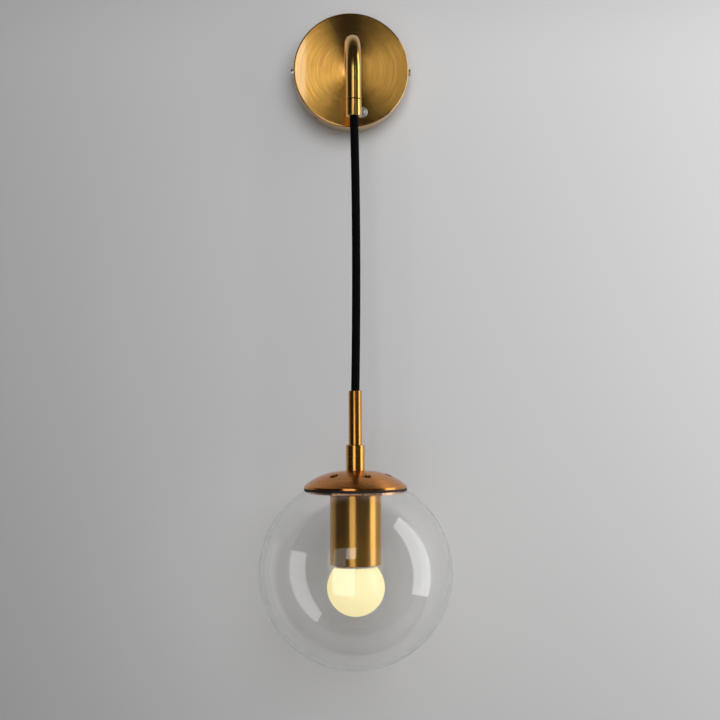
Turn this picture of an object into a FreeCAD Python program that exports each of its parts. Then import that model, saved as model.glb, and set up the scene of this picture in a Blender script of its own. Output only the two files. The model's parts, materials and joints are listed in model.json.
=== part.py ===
"""Globe wall sconce: a brass canopy, a swan-neck arm, a hanging cord and a glass globe with its bulb.

Millimetres. The origin is the centre of the canopy on the wall plane, +Z is up, -Y points into the
room and +X is to the right of someone who faces the wall. Everything below the arm hangs on the drop
axis, a vertical line at ARM_REACH from the wall. Each sub-part is written to parts/NAME.step.
"""

import FreeCAD
import Part
import math
import os

Vector = FreeCAD.Vector

# ---------------------------------------------------------------- clearances shared by many pieces
SLIP = 0.05  # radial play of a piece that is pushed or screwed into another
HOLE_PLAY = 0.2  # radial play of a screw or nipple in a plain hole
RUNNING_GAP = 0.3  # space between bodies that move against each other

# ---------------------------------------------------------------- canopy
CANOPY_DIAMETER = 96.0
CANOPY_DEPTH = 22.0
CANOPY_WALL = 1.2
CANOPY_EDGE_RADIUS = 1.5
SIDE_SCREW_DEPTH = 12.0  # from the wall to the axis of the side screws
SIDE_SCREW_RADIUS = 2.0
SIDE_SCREW_HEAD_RADIUS = 3.5
SIDE_SCREW_HEAD_HEIGHT = 2.0
SIDE_SCREW_TAIL = 3.0  # how far a side screw reaches past the ear
BLANK_HOLE_RADIUS = 1.8
BLANK_HOLE_DEPTH = 10.0  # from the wall
BLANK_HOLE_ANGLE = 232.0  # degrees from +X, seen from the room

# ---------------------------------------------------------------- mounting bracket
BRACKET_THICKNESS = 2.0
STRAP_WIDTH = 14.0
EAR_LENGTH = 19.0  # from the wall
HUB_RADIUS = 16.0
WIRE_HOLE_RADIUS = 7.0
WALL_SLOT_SPACING = 60.0
WALL_SLOT_LENGTH = 10.0
WALL_SLOT_RADIUS = 2.5
TAB_WIDTH = 26.0
TAB_TOP = 36.0

# ---------------------------------------------------------------- earth screw on the bracket
EARTH_SCREW_X = 20.0
EARTH_SCREW_RADIUS = 2.0
EARTH_SCREW_HEAD_RADIUS = 3.5
EARTH_SCREW_HEAD_HEIGHT = 2.4
EYELET_RADIUS = 3.4
EYELET_THICKNESS = 0.8
EYELET_BARREL_LENGTH = 4.5
EYELET_BARREL_RADIUS = 1.4

# ---------------------------------------------------------------- terminal block
POLE_COUNT = 3
POLE_PITCH = 8.0
BLOCK_BOTTOM = 17.0
BLOCK_LENGTH = 17.0
BLOCK_HEIGHT = 12.0
BLOCK_EDGE_RADIUS = 0.8
BLOCK_WIRE_HOLE_RADIUS = 1.6
BLOCK_WIRE_HOLE_DEPTH = 6.0
BLOCK_SCREW_RADIUS = 1.5
BLOCK_SCREW_HEAD_RADIUS = 2.6
BLOCK_SCREW_HEAD_HEIGHT = 1.5
TERMINAL_SCREW_RADIUS = 1.5
TERMINAL_SCREW_LENGTH = 3.0
TERMINAL_SCREW_SPACING = 9.0

# ---------------------------------------------------------------- push switch in the canopy face
SWITCH_X = 9.1
SWITCH_Z = -35.4
SWITCH_BEZEL_RADIUS = 4.45
SWITCH_BEZEL_THICKNESS = 1.5
SWITCH_BEZEL_LIP = 0.5
SWITCH_BUSHING_RADIUS = 3.5
SWITCH_BUTTON_RADIUS = 2.1
SWITCH_BUTTON_PROUD = 1.5
SWITCH_TRAVEL = 1.2
SWITCH_BUTTON_LENGTH = 7.0
SWITCH_BODY_SIDE = 9.0
SWITCH_BODY_LENGTH = 14.5
SWITCH_LUG_SPACING = 4.4
SWITCH_LUG_WIDTH = 2.0
SWITCH_LUG_THICKNESS = 0.6
SWITCH_LUG_LENGTH = 4.0

# ---------------------------------------------------------------- arm
ARM_RADIUS = 6.0
ARM_WALL = 1.0
ARM_REACH = 90.0  # from the wall to the drop axis
ARM_RISE = 12.2  # from the canopy's centre to the highest point of the arm's centre line
ARM_STUB = 7.4  # straight length in front of the canopy
OVER_BEND_SHARE = 0.462  # of the run from the stub to the drop axis
ARM_END_Z = -39.5  # joint between the arm and its ferrule
JOINT_CHAMFER = 0.4
NIPPLE_WALL = 1.45
ARM_NIPPLE_INSERT = 4.0
ARM_NIPPLE_TAIL = 8.0  # behind the canopy's front wall
LOCK_WASHER_RADIUS = 8.0
LOCK_WASHER_THICKNESS = 1.0
LOCK_NUT_ACROSS_FLATS = 14.0
LOCK_NUT_HEIGHT = 3.0

# ---------------------------------------------------------------- ferrule and cord grip
FERRULE_LENGTH = 12.7
FERRULE_BORE_RADIUS = 4.6
FERRULE_NECK_RADIUS = 4.0
FERRULE_SPIGOT_LENGTH = 6.0
FERRULE_MOUTH_RADIUS = 0.5
GRIP_LENGTH = 6.0
GRIP_DEPTH = 4.7  # from the ferrule's mouth up to the grip
GRUB_SCREW_RADIUS = 1.5

# ---------------------------------------------------------------- cord
CORD_RADIUS = 3.35
CORD_CORE_RADIUS = 3.0
CORD_VISIBLE_LENGTH = 214.9  # from the ferrule's mouth to the stem's mouth
CORD_INSERT = 6.0  # inside the stem
CORD_BOW = 2.6  # sideways offset of the route's middle point
CORD_BOW_Z = -151.0
CORD_ARC_SHARE = 0.45  # of the shorter run beside a turn
CORD_END_Y = -13.0  # where the sheath ends inside the canopy

# ---------------------------------------------------------------- conductors inside the canopy
WIRE_RADIUS = 1.0
WIRE_BEND_RADIUS = 2.6
WIRE_OFFSET = 1.5  # of each core from the cord's axis
WIRE_PLANE_Y = -8.5
WIRE_INSERT = 3.0

# ---------------------------------------------------------------- stem and coupling
STEM_RADIUS = 5.1
STEM_LENGTH = 42.0
STEM_BORE_RADIUS = 3.65
STEM_EDGE_RADIUS = 0.5
STEM_INSERT = 8.0
STEM_GRIP_LENGTH = 8.0
COUPLING_RADIUS = 7.3
COUPLING_LENGTH = 20.5
COUPLING_CHAMFER = 0.5
DROP_NIPPLE_INSERT = 9.0
LEAD_RADIUS = 0.8
LEAD_OFFSET = 1.9

# ---------------------------------------------------------------- dome cap over the glass
CAP_RADIUS = 40.0
CAP_HEIGHT = 13.2
CAP_PLATEAU_RADIUS = 10.0
CAP_SHOULDER_RADIUS = 45.0
CAP_WALL = 1.0
VENT_COUNT = 6
VENT_RADIUS = 3.25
VENT_CIRCLE_RADIUS = 25.5
VENT_FIRST_ANGLE = 12.0  # degrees from +X towards the room

# ---------------------------------------------------------------- glass globe and its clamping
GLOBE_RADIUS = 75.0
GLOBE_WALL = 2.2
GLOBE_OPENING_RADIUS = 34.0
GLOBE_SEAT_DROP = 1.8  # from the cap's rim down to the glass at the cap's radius
GLOBE_LIP_RADIUS = 0.9
GASKET_GAP = 0.15  # between the glass and each rubber ring, where both are curved
UPPER_GASKET_WIDTH = 2.4
PLATE_RADIUS = 37.0
PLATE_THICKNESS = 1.5
PLATE_HALF_WIDTH = 32.0  # the plate is cropped front and back, so it passes the glass opening on edge
PLATE_DROP = 3.0  # from the cap's rim to the top of the plate
LOWER_GASKET_WIDTH = 2.5
PLATE_VENT_RADIUS = 3.0

# ---------------------------------------------------------------- socket cup and lamp holder
CUP_RADIUS = 20.0
CUP_LENGTH = 54.6
CUP_WALL = 1.0
CUP_EDGE_RADIUS = 1.6
HOLDER_RADIUS = 18.5
HOLDER_LENGTH = 40.0
HOLDER_THREAD_DEPTH = 7.0
HOLDER_CEILING = 1.5
HOLDER_EDGE_RADIUS = 1.0
HOLDER_SHELL_RADIUS = 13.5  # inner radius of the screw shell
HOLDER_SHELL_WALL = 0.5
HOLDER_SHELL_LENGTH = 27.0
CONTACT_THICKNESS = 0.6
CONTACT_HALF_WIDTH = 2.5
CONTACT_LENGTH = 10.0
CONTACT_BUMP_RADIUS = 1.0
CONTACT_BUMP_HEIGHT = 1.5
TAB_GAP = 0.3

# ---------------------------------------------------------------- bulb
BULB_RADIUS = 22.4
BULB_WALL = 1.2
BULB_LENGTH = 80.0
BULB_SHADE_TANGENT_RADIUS = 19.0  # where the neck leaves the ball
BULB_SHADE_LENGTH = 38.5  # from the lowest point up to the collar
BULB_COLLAR_WALL = 1.2
BULB_COLLAR_TOP_RADIUS = 12.6
BASE_RADIUS = 13.2  # crest of the screw thread
BASE_THREAD_DEPTH = 1.0
BASE_THREAD_PITCH = 3.63
BASE_THREAD_TURNS = 6
BASE_LENGTH = 24.4
BASE_WALL = 0.4
INSULATOR_HEIGHT = 1.8
INSULATOR_TOP_RADIUS = 5.0
TIP_RADIUS = 3.6
TIP_HEIGHT = 0.8
TIP_FLAT_RADIUS = 1.6
LED_BOARD_THICKNESS = 1.6
LED_COUNT = 8
LED_SIDE = 2.8
LED_THICKNESS = 0.7
DRIVER_WIDTH = 15.0
DRIVER_THICKNESS = 1.6

# ---------------------------------------------------------------- places worked out from the above
CANOPY_RADIUS = CANOPY_DIAMETER / 2
CANOPY_BORE_RADIUS = CANOPY_RADIUS - CANOPY_WALL
CANOPY_FACE_Y = -CANOPY_DEPTH
CANOPY_BACK_OF_FACE_Y = CANOPY_FACE_Y + CANOPY_WALL
ARM_BORE_RADIUS = ARM_RADIUS - ARM_WALL
NIPPLE_RADIUS = ARM_BORE_RADIUS - SLIP
NIPPLE_BORE_RADIUS = NIPPLE_RADIUS - NIPPLE_WALL
EAR_FACE_X = math.sqrt((CANOPY_BORE_RADIUS - RUNNING_GAP) ** 2 - (STRAP_WIDTH / 2) ** 2)
FERRULE_MOUTH_Z = ARM_END_Z - FERRULE_LENGTH
STEM_MOUTH_Z = FERRULE_MOUTH_Z - CORD_VISIBLE_LENGTH
COUPLING_TOP_Z = STEM_MOUTH_Z - STEM_LENGTH
CAP_TOP_Z = COUPLING_TOP_Z - COUPLING_LENGTH
CAP_RIM_Z = CAP_TOP_Z - CAP_HEIGHT
PLATE_TOP_Z = CAP_RIM_Z - PLATE_DROP
CUP_TOP_Z = PLATE_TOP_Z - PLATE_THICKNESS
CUP_MOUTH_Z = CUP_TOP_Z - CUP_LENGTH
HOLDER_NUT_TOP_Z = CUP_TOP_Z - CUP_WALL
HOLDER_TOP_Z = HOLDER_NUT_TOP_Z - LOCK_NUT_HEIGHT
HOLDER_THREAD_END_Z = HOLDER_TOP_Z - HOLDER_THREAD_DEPTH
CONTACT_TOP_Z = HOLDER_THREAD_END_Z - HOLDER_CEILING
CONTACT_TIP_Z = CONTACT_TOP_Z - CONTACT_THICKNESS - CONTACT_BUMP_HEIGHT
HOLDER_CAVITY_RADIUS = HOLDER_SHELL_RADIUS + HOLDER_SHELL_WALL + SLIP
GLOBE_CENTRE_Z = CAP_RIM_Z - GLOBE_SEAT_DROP - math.sqrt(GLOBE_RADIUS**2 - CAP_RADIUS**2)
GLOBE_INNER_RADIUS = GLOBE_RADIUS - GLOBE_WALL
BULB_TIP_Z = CONTACT_TIP_Z - RUNNING_GAP
BULB_BOTTOM_Z = BULB_TIP_Z - BULB_LENGTH
BULB_CENTRE_Z = BULB_BOTTOM_Z + BULB_RADIUS
BULB_SHADE_TOP_Z = BULB_BOTTOM_Z + BULB_SHADE_LENGTH
BASE_TOP_Z = BULB_TIP_Z - TIP_HEIGHT - INSULATOR_HEIGHT
BASE_BOTTOM_Z = BASE_TOP_Z - BASE_LENGTH


# ---------------------------------------------------------------- shared shapes
def on_drop(height):
    """Point of the drop axis at this height."""
    return Vector(0, -ARM_REACH, height)


def rod(radius, start, end):
    """Solid rod from start to end."""
    run = end.sub(start)
    return Part.makeCylinder(radius, run.Length, start, run)


def pipe_between(outer, inner, start, end):
    """Straight pipe from start to end."""
    return rod(outer, start, end).cut(rod(inner, start, end))


def block(low, high):
    """Rectangular solid between two corners."""
    size = high.sub(low)
    return Part.makeBox(size.x, size.y, size.z, low)


def hex_nut(across_flats, bore, start, end):
    """Hexagonal nut from start to end, with a plain bore."""
    run = end.sub(start)
    side = across_flats / math.sqrt(3)
    corners = [
        Vector(side * math.cos(math.radians(60 * i)), side * math.sin(math.radians(60 * i)), 0)
        for i in range(7)
    ]
    prism = Part.Face(Part.makePolygon(corners)).extrude(Vector(0, 0, run.Length))
    prism.Placement = FreeCAD.Placement(start, FreeCAD.Rotation(Vector(0, 0, 1), run))
    return prism.cut(rod(bore, start, end))


def slotted_screw(head_radius, head_height, shank_radius, head_top, head_base, tip):
    """Cheese-head screw along the line from head_top to tip, with a slot across its head."""
    axis = tip.sub(head_top)
    head = rod(head_radius, head_top, head_base)
    screw = head.fuse(rod(shank_radius, head_base, tip)).removeSplitter()
    across = axis.cross(Vector(0, 0, 1))
    if across.Length < axis.Length / 2:
        across = axis.cross(Vector(0, 1, 0))
    slot = Part.makeBox(4 * head_radius, head_radius * 0.25, head_height * 0.9)
    slot.translate(Vector(-2 * head_radius, -head_radius * 0.125, -head_height * 0.45))
    slot.Placement = FreeCAD.Placement(
        head_top, FreeCAD.Rotation(across, Vector(0, 0, 0), axis, "ZXY")
    ).multiply(slot.Placement)
    return screw.cut(slot)


class Outline:
    """Closed outline in radius and height, turned about the drop axis."""

    def __init__(self, radius, height):
        self.first = (radius, height)
        self.last = self.first
        self.edges = []

    @staticmethod
    def _point(place):
        return Vector(place[0], -ARM_REACH, place[1])

    def line(self, radius, height):
        """Straight stretch to this radius and height."""
        self.edges.append(Part.makeLine(self._point(self.last), self._point((radius, height))))
        self.last = (radius, height)
        return self

    def arc(self, through, radius, height):
        """Arc through a middle point to this radius and height."""
        ends = self._point(self.last), self._point(through), self._point((radius, height))
        self.edges.append(Part.Arc(*ends).toShape())
        self.last = (radius, height)
        return self

    def turned(self):
        """Solid of revolution of the closed outline."""
        self.line(*self.first)
        face = Part.Face(Part.Wire(self.edges))
        return face.revolve(on_drop(0), Vector(0, 0, 1), 360)


def on_circle(centre_radius, centre_height, radius, degrees):
    """Point in radius and height on a circle, counted from the horizontal."""
    angle = math.radians(degrees)
    return centre_radius + radius * math.cos(angle), centre_height + radius * math.sin(angle)


def swept(edges, radius):
    """Round solid along a path of edges that follow each other smoothly."""
    start = edges[0]
    circle = Part.makeCircle(
        radius, start.valueAt(start.FirstParameter), start.tangentAt(start.FirstParameter)
    )
    return Part.Wire(edges).makePipeShell([Part.Wire([circle])], True, False)


def rounded_route(points, bend_radius=None):
    """Edges along a route: straight runs joined by tangent arcs.

    Each arc has bend_radius, or is as large as its two runs allow where bend_radius is None.
    """
    edges = []
    start = points[0]
    radii = []
    for before, corner, after in zip(points, points[1:], points[2:]):
        back = before.sub(corner)
        ahead = after.sub(corner)
        half_turn = (math.pi - back.getAngle(ahead)) / 2
        reach = CORD_ARC_SHARE * min(back.Length, ahead.Length)
        if bend_radius is not None:
            reach = min(reach, bend_radius * math.tan(half_turn))
        radius = reach / math.tan(half_turn)
        radii.append(radius)
        back.normalize()
        ahead.normalize()
        arc_start = corner.add(back * reach)
        arc_end = corner.add(ahead * reach)
        inward = back.add(ahead)
        inward.normalize()
        middle = corner.add(inward * (radius / math.cos(half_turn) - radius))
        edges.append(Part.makeLine(start, arc_start))
        edges.append(Part.Arc(arc_start, middle, arc_end).toShape())
        start = arc_end
    edges.append(Part.makeLine(start, points[-1]))
    return edges, radii


# ---------------------------------------------------------------- canopy pieces
def canopy_cover():
    """Pressed brass dish, open towards the wall."""
    dish = rod(CANOPY_RADIUS, Vector(0, 0, 0), Vector(0, CANOPY_FACE_Y, 0))
    front_edges = [edge for edge in dish.Edges if edge.BoundBox.YMax < CANOPY_FACE_Y + SLIP]
    dish = dish.makeFillet(CANOPY_EDGE_RADIUS, front_edges)
    hollow = rod(CANOPY_BORE_RADIUS, Vector(0, 0, 0), Vector(0, CANOPY_BACK_OF_FACE_Y, 0))
    inner_edges = [
        edge for edge in hollow.Edges if edge.BoundBox.YMax < CANOPY_BACK_OF_FACE_Y + SLIP
    ]
    hollow = hollow.makeFillet(max(CANOPY_EDGE_RADIUS - CANOPY_WALL, SLIP), inner_edges)
    dish = dish.cut(hollow)
    through = CANOPY_FACE_Y - CANOPY_WALL
    dish = dish.cut(rod(NIPPLE_RADIUS + HOLE_PLAY, Vector(0, 0, 0), Vector(0, through, 0)))
    switch_start = Vector(SWITCH_X, 0, SWITCH_Z)
    switch_end = Vector(SWITCH_X, through, SWITCH_Z)
    dish = dish.cut(rod(SWITCH_BUSHING_RADIUS + HOLE_PLAY, switch_start, switch_end))
    for side in (-1, 1):
        start = Vector(side * EAR_FACE_X, -SIDE_SCREW_DEPTH, 0)
        end = Vector(side * (CANOPY_RADIUS + CANOPY_WALL), -SIDE_SCREW_DEPTH, 0)
        dish = dish.cut(rod(SIDE_SCREW_RADIUS + HOLE_PLAY, start, end))
    angle = math.radians(BLANK_HOLE_ANGLE)
    outward = Vector(math.cos(angle), 0, math.sin(angle))
    level = Vector(0, -BLANK_HOLE_DEPTH, 0)
    start = level.add(outward * (CANOPY_BORE_RADIUS - CANOPY_WALL))
    end = level.add(outward * (CANOPY_RADIUS + CANOPY_WALL))
    return dish.cut(rod(BLANK_HOLE_RADIUS, start, end))


def bracket_front_y():
    """Front face of the bracket's flat part."""
    return -BRACKET_THICKNESS


def mounting_bracket():
    """Steel strap with a hub, a tab for the terminal block and two tapped ears."""
    front = bracket_front_y()
    half = STRAP_WIDTH / 2
    bracket = block(Vector(-EAR_FACE_X, front, -half), Vector(EAR_FACE_X, 0, half))
    bracket = bracket.fuse(rod(HUB_RADIUS, Vector(0, front, 0), Vector(0, 0, 0)))
    tab = block(Vector(-TAB_WIDTH / 2, front, 0), Vector(TAB_WIDTH / 2, 0, TAB_TOP))
    bracket = bracket.fuse(tab)
    for side in (-1, 1):
        inner = side * (EAR_FACE_X - BRACKET_THICKNESS)
        outer = side * EAR_FACE_X
        low_x, high_x = sorted((inner, outer))
        ear = block(Vector(low_x, -EAR_LENGTH, -half), Vector(high_x, 0, half))
        bracket = bracket.fuse(ear)
    bracket = bracket.removeSplitter()
    bracket = bracket.cut(rod(WIRE_HOLE_RADIUS, Vector(0, front, 0), Vector(0, 0, 0)))
    for side in (-1, 1):
        bracket = bracket.cut(wall_slot(side * WALL_SLOT_SPACING / 2))
        start = Vector(side * (EAR_FACE_X - BRACKET_THICKNESS), -SIDE_SCREW_DEPTH, 0)
        end = Vector(side * EAR_FACE_X, -SIDE_SCREW_DEPTH, 0)
        bracket = bracket.cut(rod(SIDE_SCREW_RADIUS + SLIP, start, end))
    earth = rod(EARTH_SCREW_RADIUS + SLIP, Vector(EARTH_SCREW_X, front, 0), Vector(EARTH_SCREW_X, 0, 0))
    bracket = bracket.cut(earth)
    for x, z in block_screw_places():
        bracket = bracket.cut(rod(BLOCK_SCREW_RADIUS + SLIP, Vector(x, front, z), Vector(x, 0, z)))
    return bracket


def wall_slot(centre_x):
    """Cutter for one slot along X in the strap."""
    front = bracket_front_y()
    half = WALL_SLOT_LENGTH / 2 - WALL_SLOT_RADIUS
    low = Vector(centre_x - half, front, -WALL_SLOT_RADIUS)
    high = Vector(centre_x + half, 0, WALL_SLOT_RADIUS)
    slot = block(low, high)
    for end_x in (centre_x - half, centre_x + half):
        slot = slot.fuse(rod(WALL_SLOT_RADIUS, Vector(end_x, front, 0), Vector(end_x, 0, 0)))
    return slot


def canopy_side_screws():
    """Two screws that hold the canopy to the bracket's ears."""
    screws = []
    for side in (-1, 1):
        places = [
            Vector(side * x, -SIDE_SCREW_DEPTH, 0)
            for x in (
                CANOPY_RADIUS + SIDE_SCREW_HEAD_HEIGHT,
                CANOPY_RADIUS,
                EAR_FACE_X - BRACKET_THICKNESS - SIDE_SCREW_TAIL,
            )
        ]
        screws.append(
            slotted_screw(
                SIDE_SCREW_HEAD_RADIUS, SIDE_SCREW_HEAD_HEIGHT, SIDE_SCREW_RADIUS, *places
            )
        )
    return Part.makeCompound(screws)


def earth_screw():
    """Screw on the bracket that holds the earth eyelet."""
    head_base = bracket_front_y() - EYELET_THICKNESS
    places = [
        Vector(EARTH_SCREW_X, y, 0) for y in (head_base - EARTH_SCREW_HEAD_HEIGHT, head_base, 0)
    ]
    return slotted_screw(
        EARTH_SCREW_HEAD_RADIUS, EARTH_SCREW_HEAD_HEIGHT, EARTH_SCREW_RADIUS, *places
    )


def earth_eyelet():
    """Ring terminal under the earth screw, with a barrel that points up to its wire."""
    front = bracket_front_y()
    ring = rod(
        EYELET_RADIUS,
        Vector(EARTH_SCREW_X, front - EYELET_THICKNESS, 0),
        Vector(EARTH_SCREW_X, front, 0),
    )
    tongue = block(
        Vector(EARTH_SCREW_X - EYELET_BARREL_RADIUS, front - EYELET_THICKNESS, 0),
        Vector(EARTH_SCREW_X + EYELET_BARREL_RADIUS, front, EYELET_RADIUS + EYELET_THICKNESS * 2),
    )
    barrel_y = front - EYELET_BARREL_RADIUS
    barrel_low = EYELET_RADIUS + EYELET_THICKNESS
    barrel = rod(
        EYELET_BARREL_RADIUS,
        Vector(EARTH_SCREW_X, barrel_y, barrel_low),
        Vector(EARTH_SCREW_X, barrel_y, barrel_low + EYELET_BARREL_LENGTH),
    )
    solid = ring.fuse(tongue).fuse(barrel).removeSplitter()
    hole = rod(
        EARTH_SCREW_RADIUS + SLIP,
        Vector(EARTH_SCREW_X, front - EYELET_THICKNESS, 0),
        Vector(EARTH_SCREW_X, front, 0),
    )
    return solid.cut(hole)


def pole_places():
    """X of each pole of the terminal block."""
    middle = (POLE_COUNT - 1) / 2
    return [(i - middle) * POLE_PITCH for i in range(POLE_COUNT)]


def block_screw_places():
    """X and Z of the two screws that hold the terminal block."""
    height = BLOCK_BOTTOM + BLOCK_LENGTH / 2
    xs = pole_places()
    return [((xs[0] + xs[1]) / 2, height), ((xs[-1] + xs[-2]) / 2, height)]


def block_front_y():
    """Front face of the terminal block, on the room's side."""
    return bracket_front_y() - BLOCK_HEIGHT


def terminal_block():
    """Three-pole block with wire holes at both ends and a screw well over each."""
    half = POLE_COUNT * POLE_PITCH / 2
    body = block(
        Vector(-half, block_front_y(), BLOCK_BOTTOM),
        Vector(half, bracket_front_y(), BLOCK_BOTTOM + BLOCK_LENGTH),
    )
    upright = [edge for edge in body.Edges if edge.BoundBox.YLength > BLOCK_HEIGHT / 2]
    body = body.makeFillet(BLOCK_EDGE_RADIUS, upright)
    top = BLOCK_BOTTOM + BLOCK_LENGTH
    for x in pole_places():
        for end, inner in (
            (BLOCK_BOTTOM, BLOCK_BOTTOM + BLOCK_WIRE_HOLE_DEPTH),
            (top, top - BLOCK_WIRE_HOLE_DEPTH),
        ):
            start = Vector(x, WIRE_PLANE_Y, end)
            body = body.cut(rod(BLOCK_WIRE_HOLE_RADIUS, start, Vector(x, WIRE_PLANE_Y, inner)))
    for x, z in terminal_screw_places():
        well_end = Vector(x, WIRE_PLANE_Y, z)
        body = body.cut(rod(TERMINAL_SCREW_RADIUS + SLIP, Vector(x, block_front_y(), z), well_end))
    for x, z in block_screw_places():
        start = Vector(x, block_front_y(), z)
        body = body.cut(rod(BLOCK_SCREW_RADIUS + HOLE_PLAY, start, Vector(x, 0, z)))
    return body


def terminal_screw_places():
    """X and Z of the clamping screws, two to a pole."""
    centre = BLOCK_BOTTOM + BLOCK_LENGTH / 2
    half = TERMINAL_SCREW_SPACING / 2
    return [(x, centre + side * half) for x in pole_places() for side in (-1, 1)]


def terminal_screws():
    """Clamping screws, sunk in their wells and down on the wires."""
    tip_y = WIRE_PLANE_Y - WIRE_RADIUS
    screws = []
    for x, z in terminal_screw_places():
        top = Vector(x, tip_y - TERMINAL_SCREW_LENGTH, z)
        screw = rod(TERMINAL_SCREW_RADIUS, top, Vector(x, tip_y, z))
        slot_half = TERMINAL_SCREW_RADIUS * 0.2
        low = Vector(x - TERMINAL_SCREW_RADIUS, top.y, z - slot_half)
        high = Vector(x + TERMINAL_SCREW_RADIUS, top.y + TERMINAL_SCREW_RADIUS / 2, z + slot_half)
        screws.append(screw.cut(block(low, high)))
    return Part.makeCompound(screws)


def block_screws():
    """Two screws that hold the terminal block to the bracket's tab."""
    screws = []
    for x, z in block_screw_places():
        places = [
            Vector(x, y, z)
            for y in (block_front_y() - BLOCK_SCREW_HEAD_HEIGHT, block_front_y(), 0)
        ]
        screws.append(
            slotted_screw(
                BLOCK_SCREW_HEAD_RADIUS, BLOCK_SCREW_HEAD_HEIGHT, BLOCK_SCREW_RADIUS, *places
            )
        )
    return Part.makeCompound(screws)


# ---------------------------------------------------------------- switch
def at_switch(y):
    """Point on the switch's axis."""
    return Vector(SWITCH_X, y, SWITCH_Z)


def bezel_front_y():
    """Front face of the switch's bezel."""
    return CANOPY_FACE_Y - SWITCH_BEZEL_THICKNESS


def lug_place(side):
    """X of one lug, -1 or 1."""
    return SWITCH_X + side * SWITCH_LUG_SPACING / 2


def switch_body():
    """Switch housing behind the canopy's face, with its bushing and two lugs."""
    back = CANOPY_BACK_OF_FACE_Y + SWITCH_BODY_LENGTH
    half = SWITCH_BODY_SIDE / 2
    housing = block(
        Vector(SWITCH_X - half, CANOPY_BACK_OF_FACE_Y, SWITCH_Z - half),
        Vector(SWITCH_X + half, back, SWITCH_Z + half),
    )
    bushing_top = bezel_front_y() + SWITCH_BEZEL_LIP
    body = housing.fuse(rod(SWITCH_BUSHING_RADIUS, at_switch(back), at_switch(bushing_top)))
    for side in (-1, 1):
        x = lug_place(side)
        low = Vector(x - SWITCH_LUG_WIDTH / 2, back, SWITCH_Z - SWITCH_LUG_THICKNESS / 2)
        high = Vector(
            x + SWITCH_LUG_WIDTH / 2, back + SWITCH_LUG_LENGTH, SWITCH_Z + SWITCH_LUG_THICKNESS / 2
        )
        body = body.fuse(block(low, high))
    bore_end = button_back_y() + SWITCH_TRAVEL + RUNNING_GAP
    bore = rod(SWITCH_BUTTON_RADIUS + HOLE_PLAY, at_switch(bushing_top), at_switch(bore_end))
    return body.removeSplitter().cut(bore)


def button_back_y():
    """Back end of the button at rest."""
    return bezel_front_y() - SWITCH_BUTTON_PROUD + SWITCH_BUTTON_LENGTH


def switch_bezel():
    """Round nickel nut on the bushing, in front of the canopy."""
    bezel = rod(SWITCH_BEZEL_RADIUS, at_switch(bezel_front_y()), at_switch(CANOPY_FACE_Y))
    front = [edge for edge in bezel.Edges if edge.BoundBox.YMax < bezel_front_y() + SLIP]
    bezel = bezel.makeFillet(SWITCH_BEZEL_THICKNESS / 3, front)
    lip = bezel_front_y() + SWITCH_BEZEL_LIP
    bezel = bezel.cut(rod(SWITCH_BUSHING_RADIUS + SLIP, at_switch(lip), at_switch(CANOPY_FACE_Y)))
    return bezel.cut(
        rod(SWITCH_BUTTON_RADIUS + RUNNING_GAP, at_switch(bezel_front_y()), at_switch(lip))
    )


def switch_button():
    """Push button with a rounded front."""
    front = bezel_front_y() - SWITCH_BUTTON_PROUD
    button = rod(SWITCH_BUTTON_RADIUS, at_switch(front), at_switch(button_back_y()))
    front_edges = [edge for edge in button.Edges if edge.BoundBox.YMax < front + SLIP]
    return button.makeFillet(SWITCH_BUTTON_RADIUS / 4, front_edges)


# ---------------------------------------------------------------- arm
def arm_bends():
    """Angle of the up bend, and radii of the up bend and the bend over the top."""
    run = ARM_REACH - CANOPY_DEPTH - ARM_STUB
    over_radius = OVER_BEND_SHARE * run
    angle = 2 * math.atan(ARM_RISE / (run - over_radius))
    up_radius = (run - over_radius) / math.sin(angle) - over_radius
    return angle, up_radius, over_radius


def arm_centre_line(first_y, last_z):
    """Edges of the swan neck from first_y on the canopy's axis down to last_z on the drop axis."""
    angle, up_radius, over_radius = arm_bends()
    bend_y = CANOPY_FACE_Y - ARM_STUB

    def up_bend(turn):
        sine, cosine = math.sin(turn), math.cos(turn)
        return Vector(0, bend_y - up_radius * sine, up_radius * (1 - cosine))

    over_centre_y = over_radius - ARM_REACH
    over_centre_z = ARM_RISE - over_radius

    def over_bend(turn):
        offset = Vector(0, over_radius * math.sin(turn), over_radius * math.cos(turn))
        return Vector(0, over_centre_y, over_centre_z).add(offset)

    quarter = math.pi / 2
    return [
        Part.makeLine(Vector(0, first_y, 0), up_bend(0)),
        Part.Arc(up_bend(0), up_bend(angle / 2), up_bend(angle)).toShape(),
        Part.Arc(over_bend(angle), over_bend((angle - quarter) / 2), over_bend(-quarter)).toShape(),
        Part.makeLine(over_bend(-quarter), on_drop(last_z)),
    ]


def arm_tube():
    """Bent brass tube from the canopy's face to the ferrule."""
    path = arm_centre_line(CANOPY_FACE_Y, ARM_END_Z)
    outside = swept(path, ARM_RADIUS)
    lower_rim = [edge for edge in outside.Edges if edge.BoundBox.ZMax < ARM_END_Z + SLIP]
    outside = outside.makeChamfer(JOINT_CHAMFER, lower_rim)
    return outside.cut(swept(path, ARM_BORE_RADIUS))


def arm_nipple():
    """Threaded tube that joins the arm to the canopy."""
    front = Vector(0, CANOPY_FACE_Y - ARM_NIPPLE_INSERT, 0)
    back = Vector(0, CANOPY_BACK_OF_FACE_Y + ARM_NIPPLE_TAIL, 0)
    return pipe_between(NIPPLE_RADIUS, NIPPLE_BORE_RADIUS, front, back)


def arm_lock_washer():
    """Washer between the canopy's inner face and the lock nut."""
    front = Vector(0, CANOPY_BACK_OF_FACE_Y, 0)
    back = Vector(0, CANOPY_BACK_OF_FACE_Y + LOCK_WASHER_THICKNESS, 0)
    return pipe_between(LOCK_WASHER_RADIUS, NIPPLE_RADIUS + HOLE_PLAY, front, back)


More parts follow.
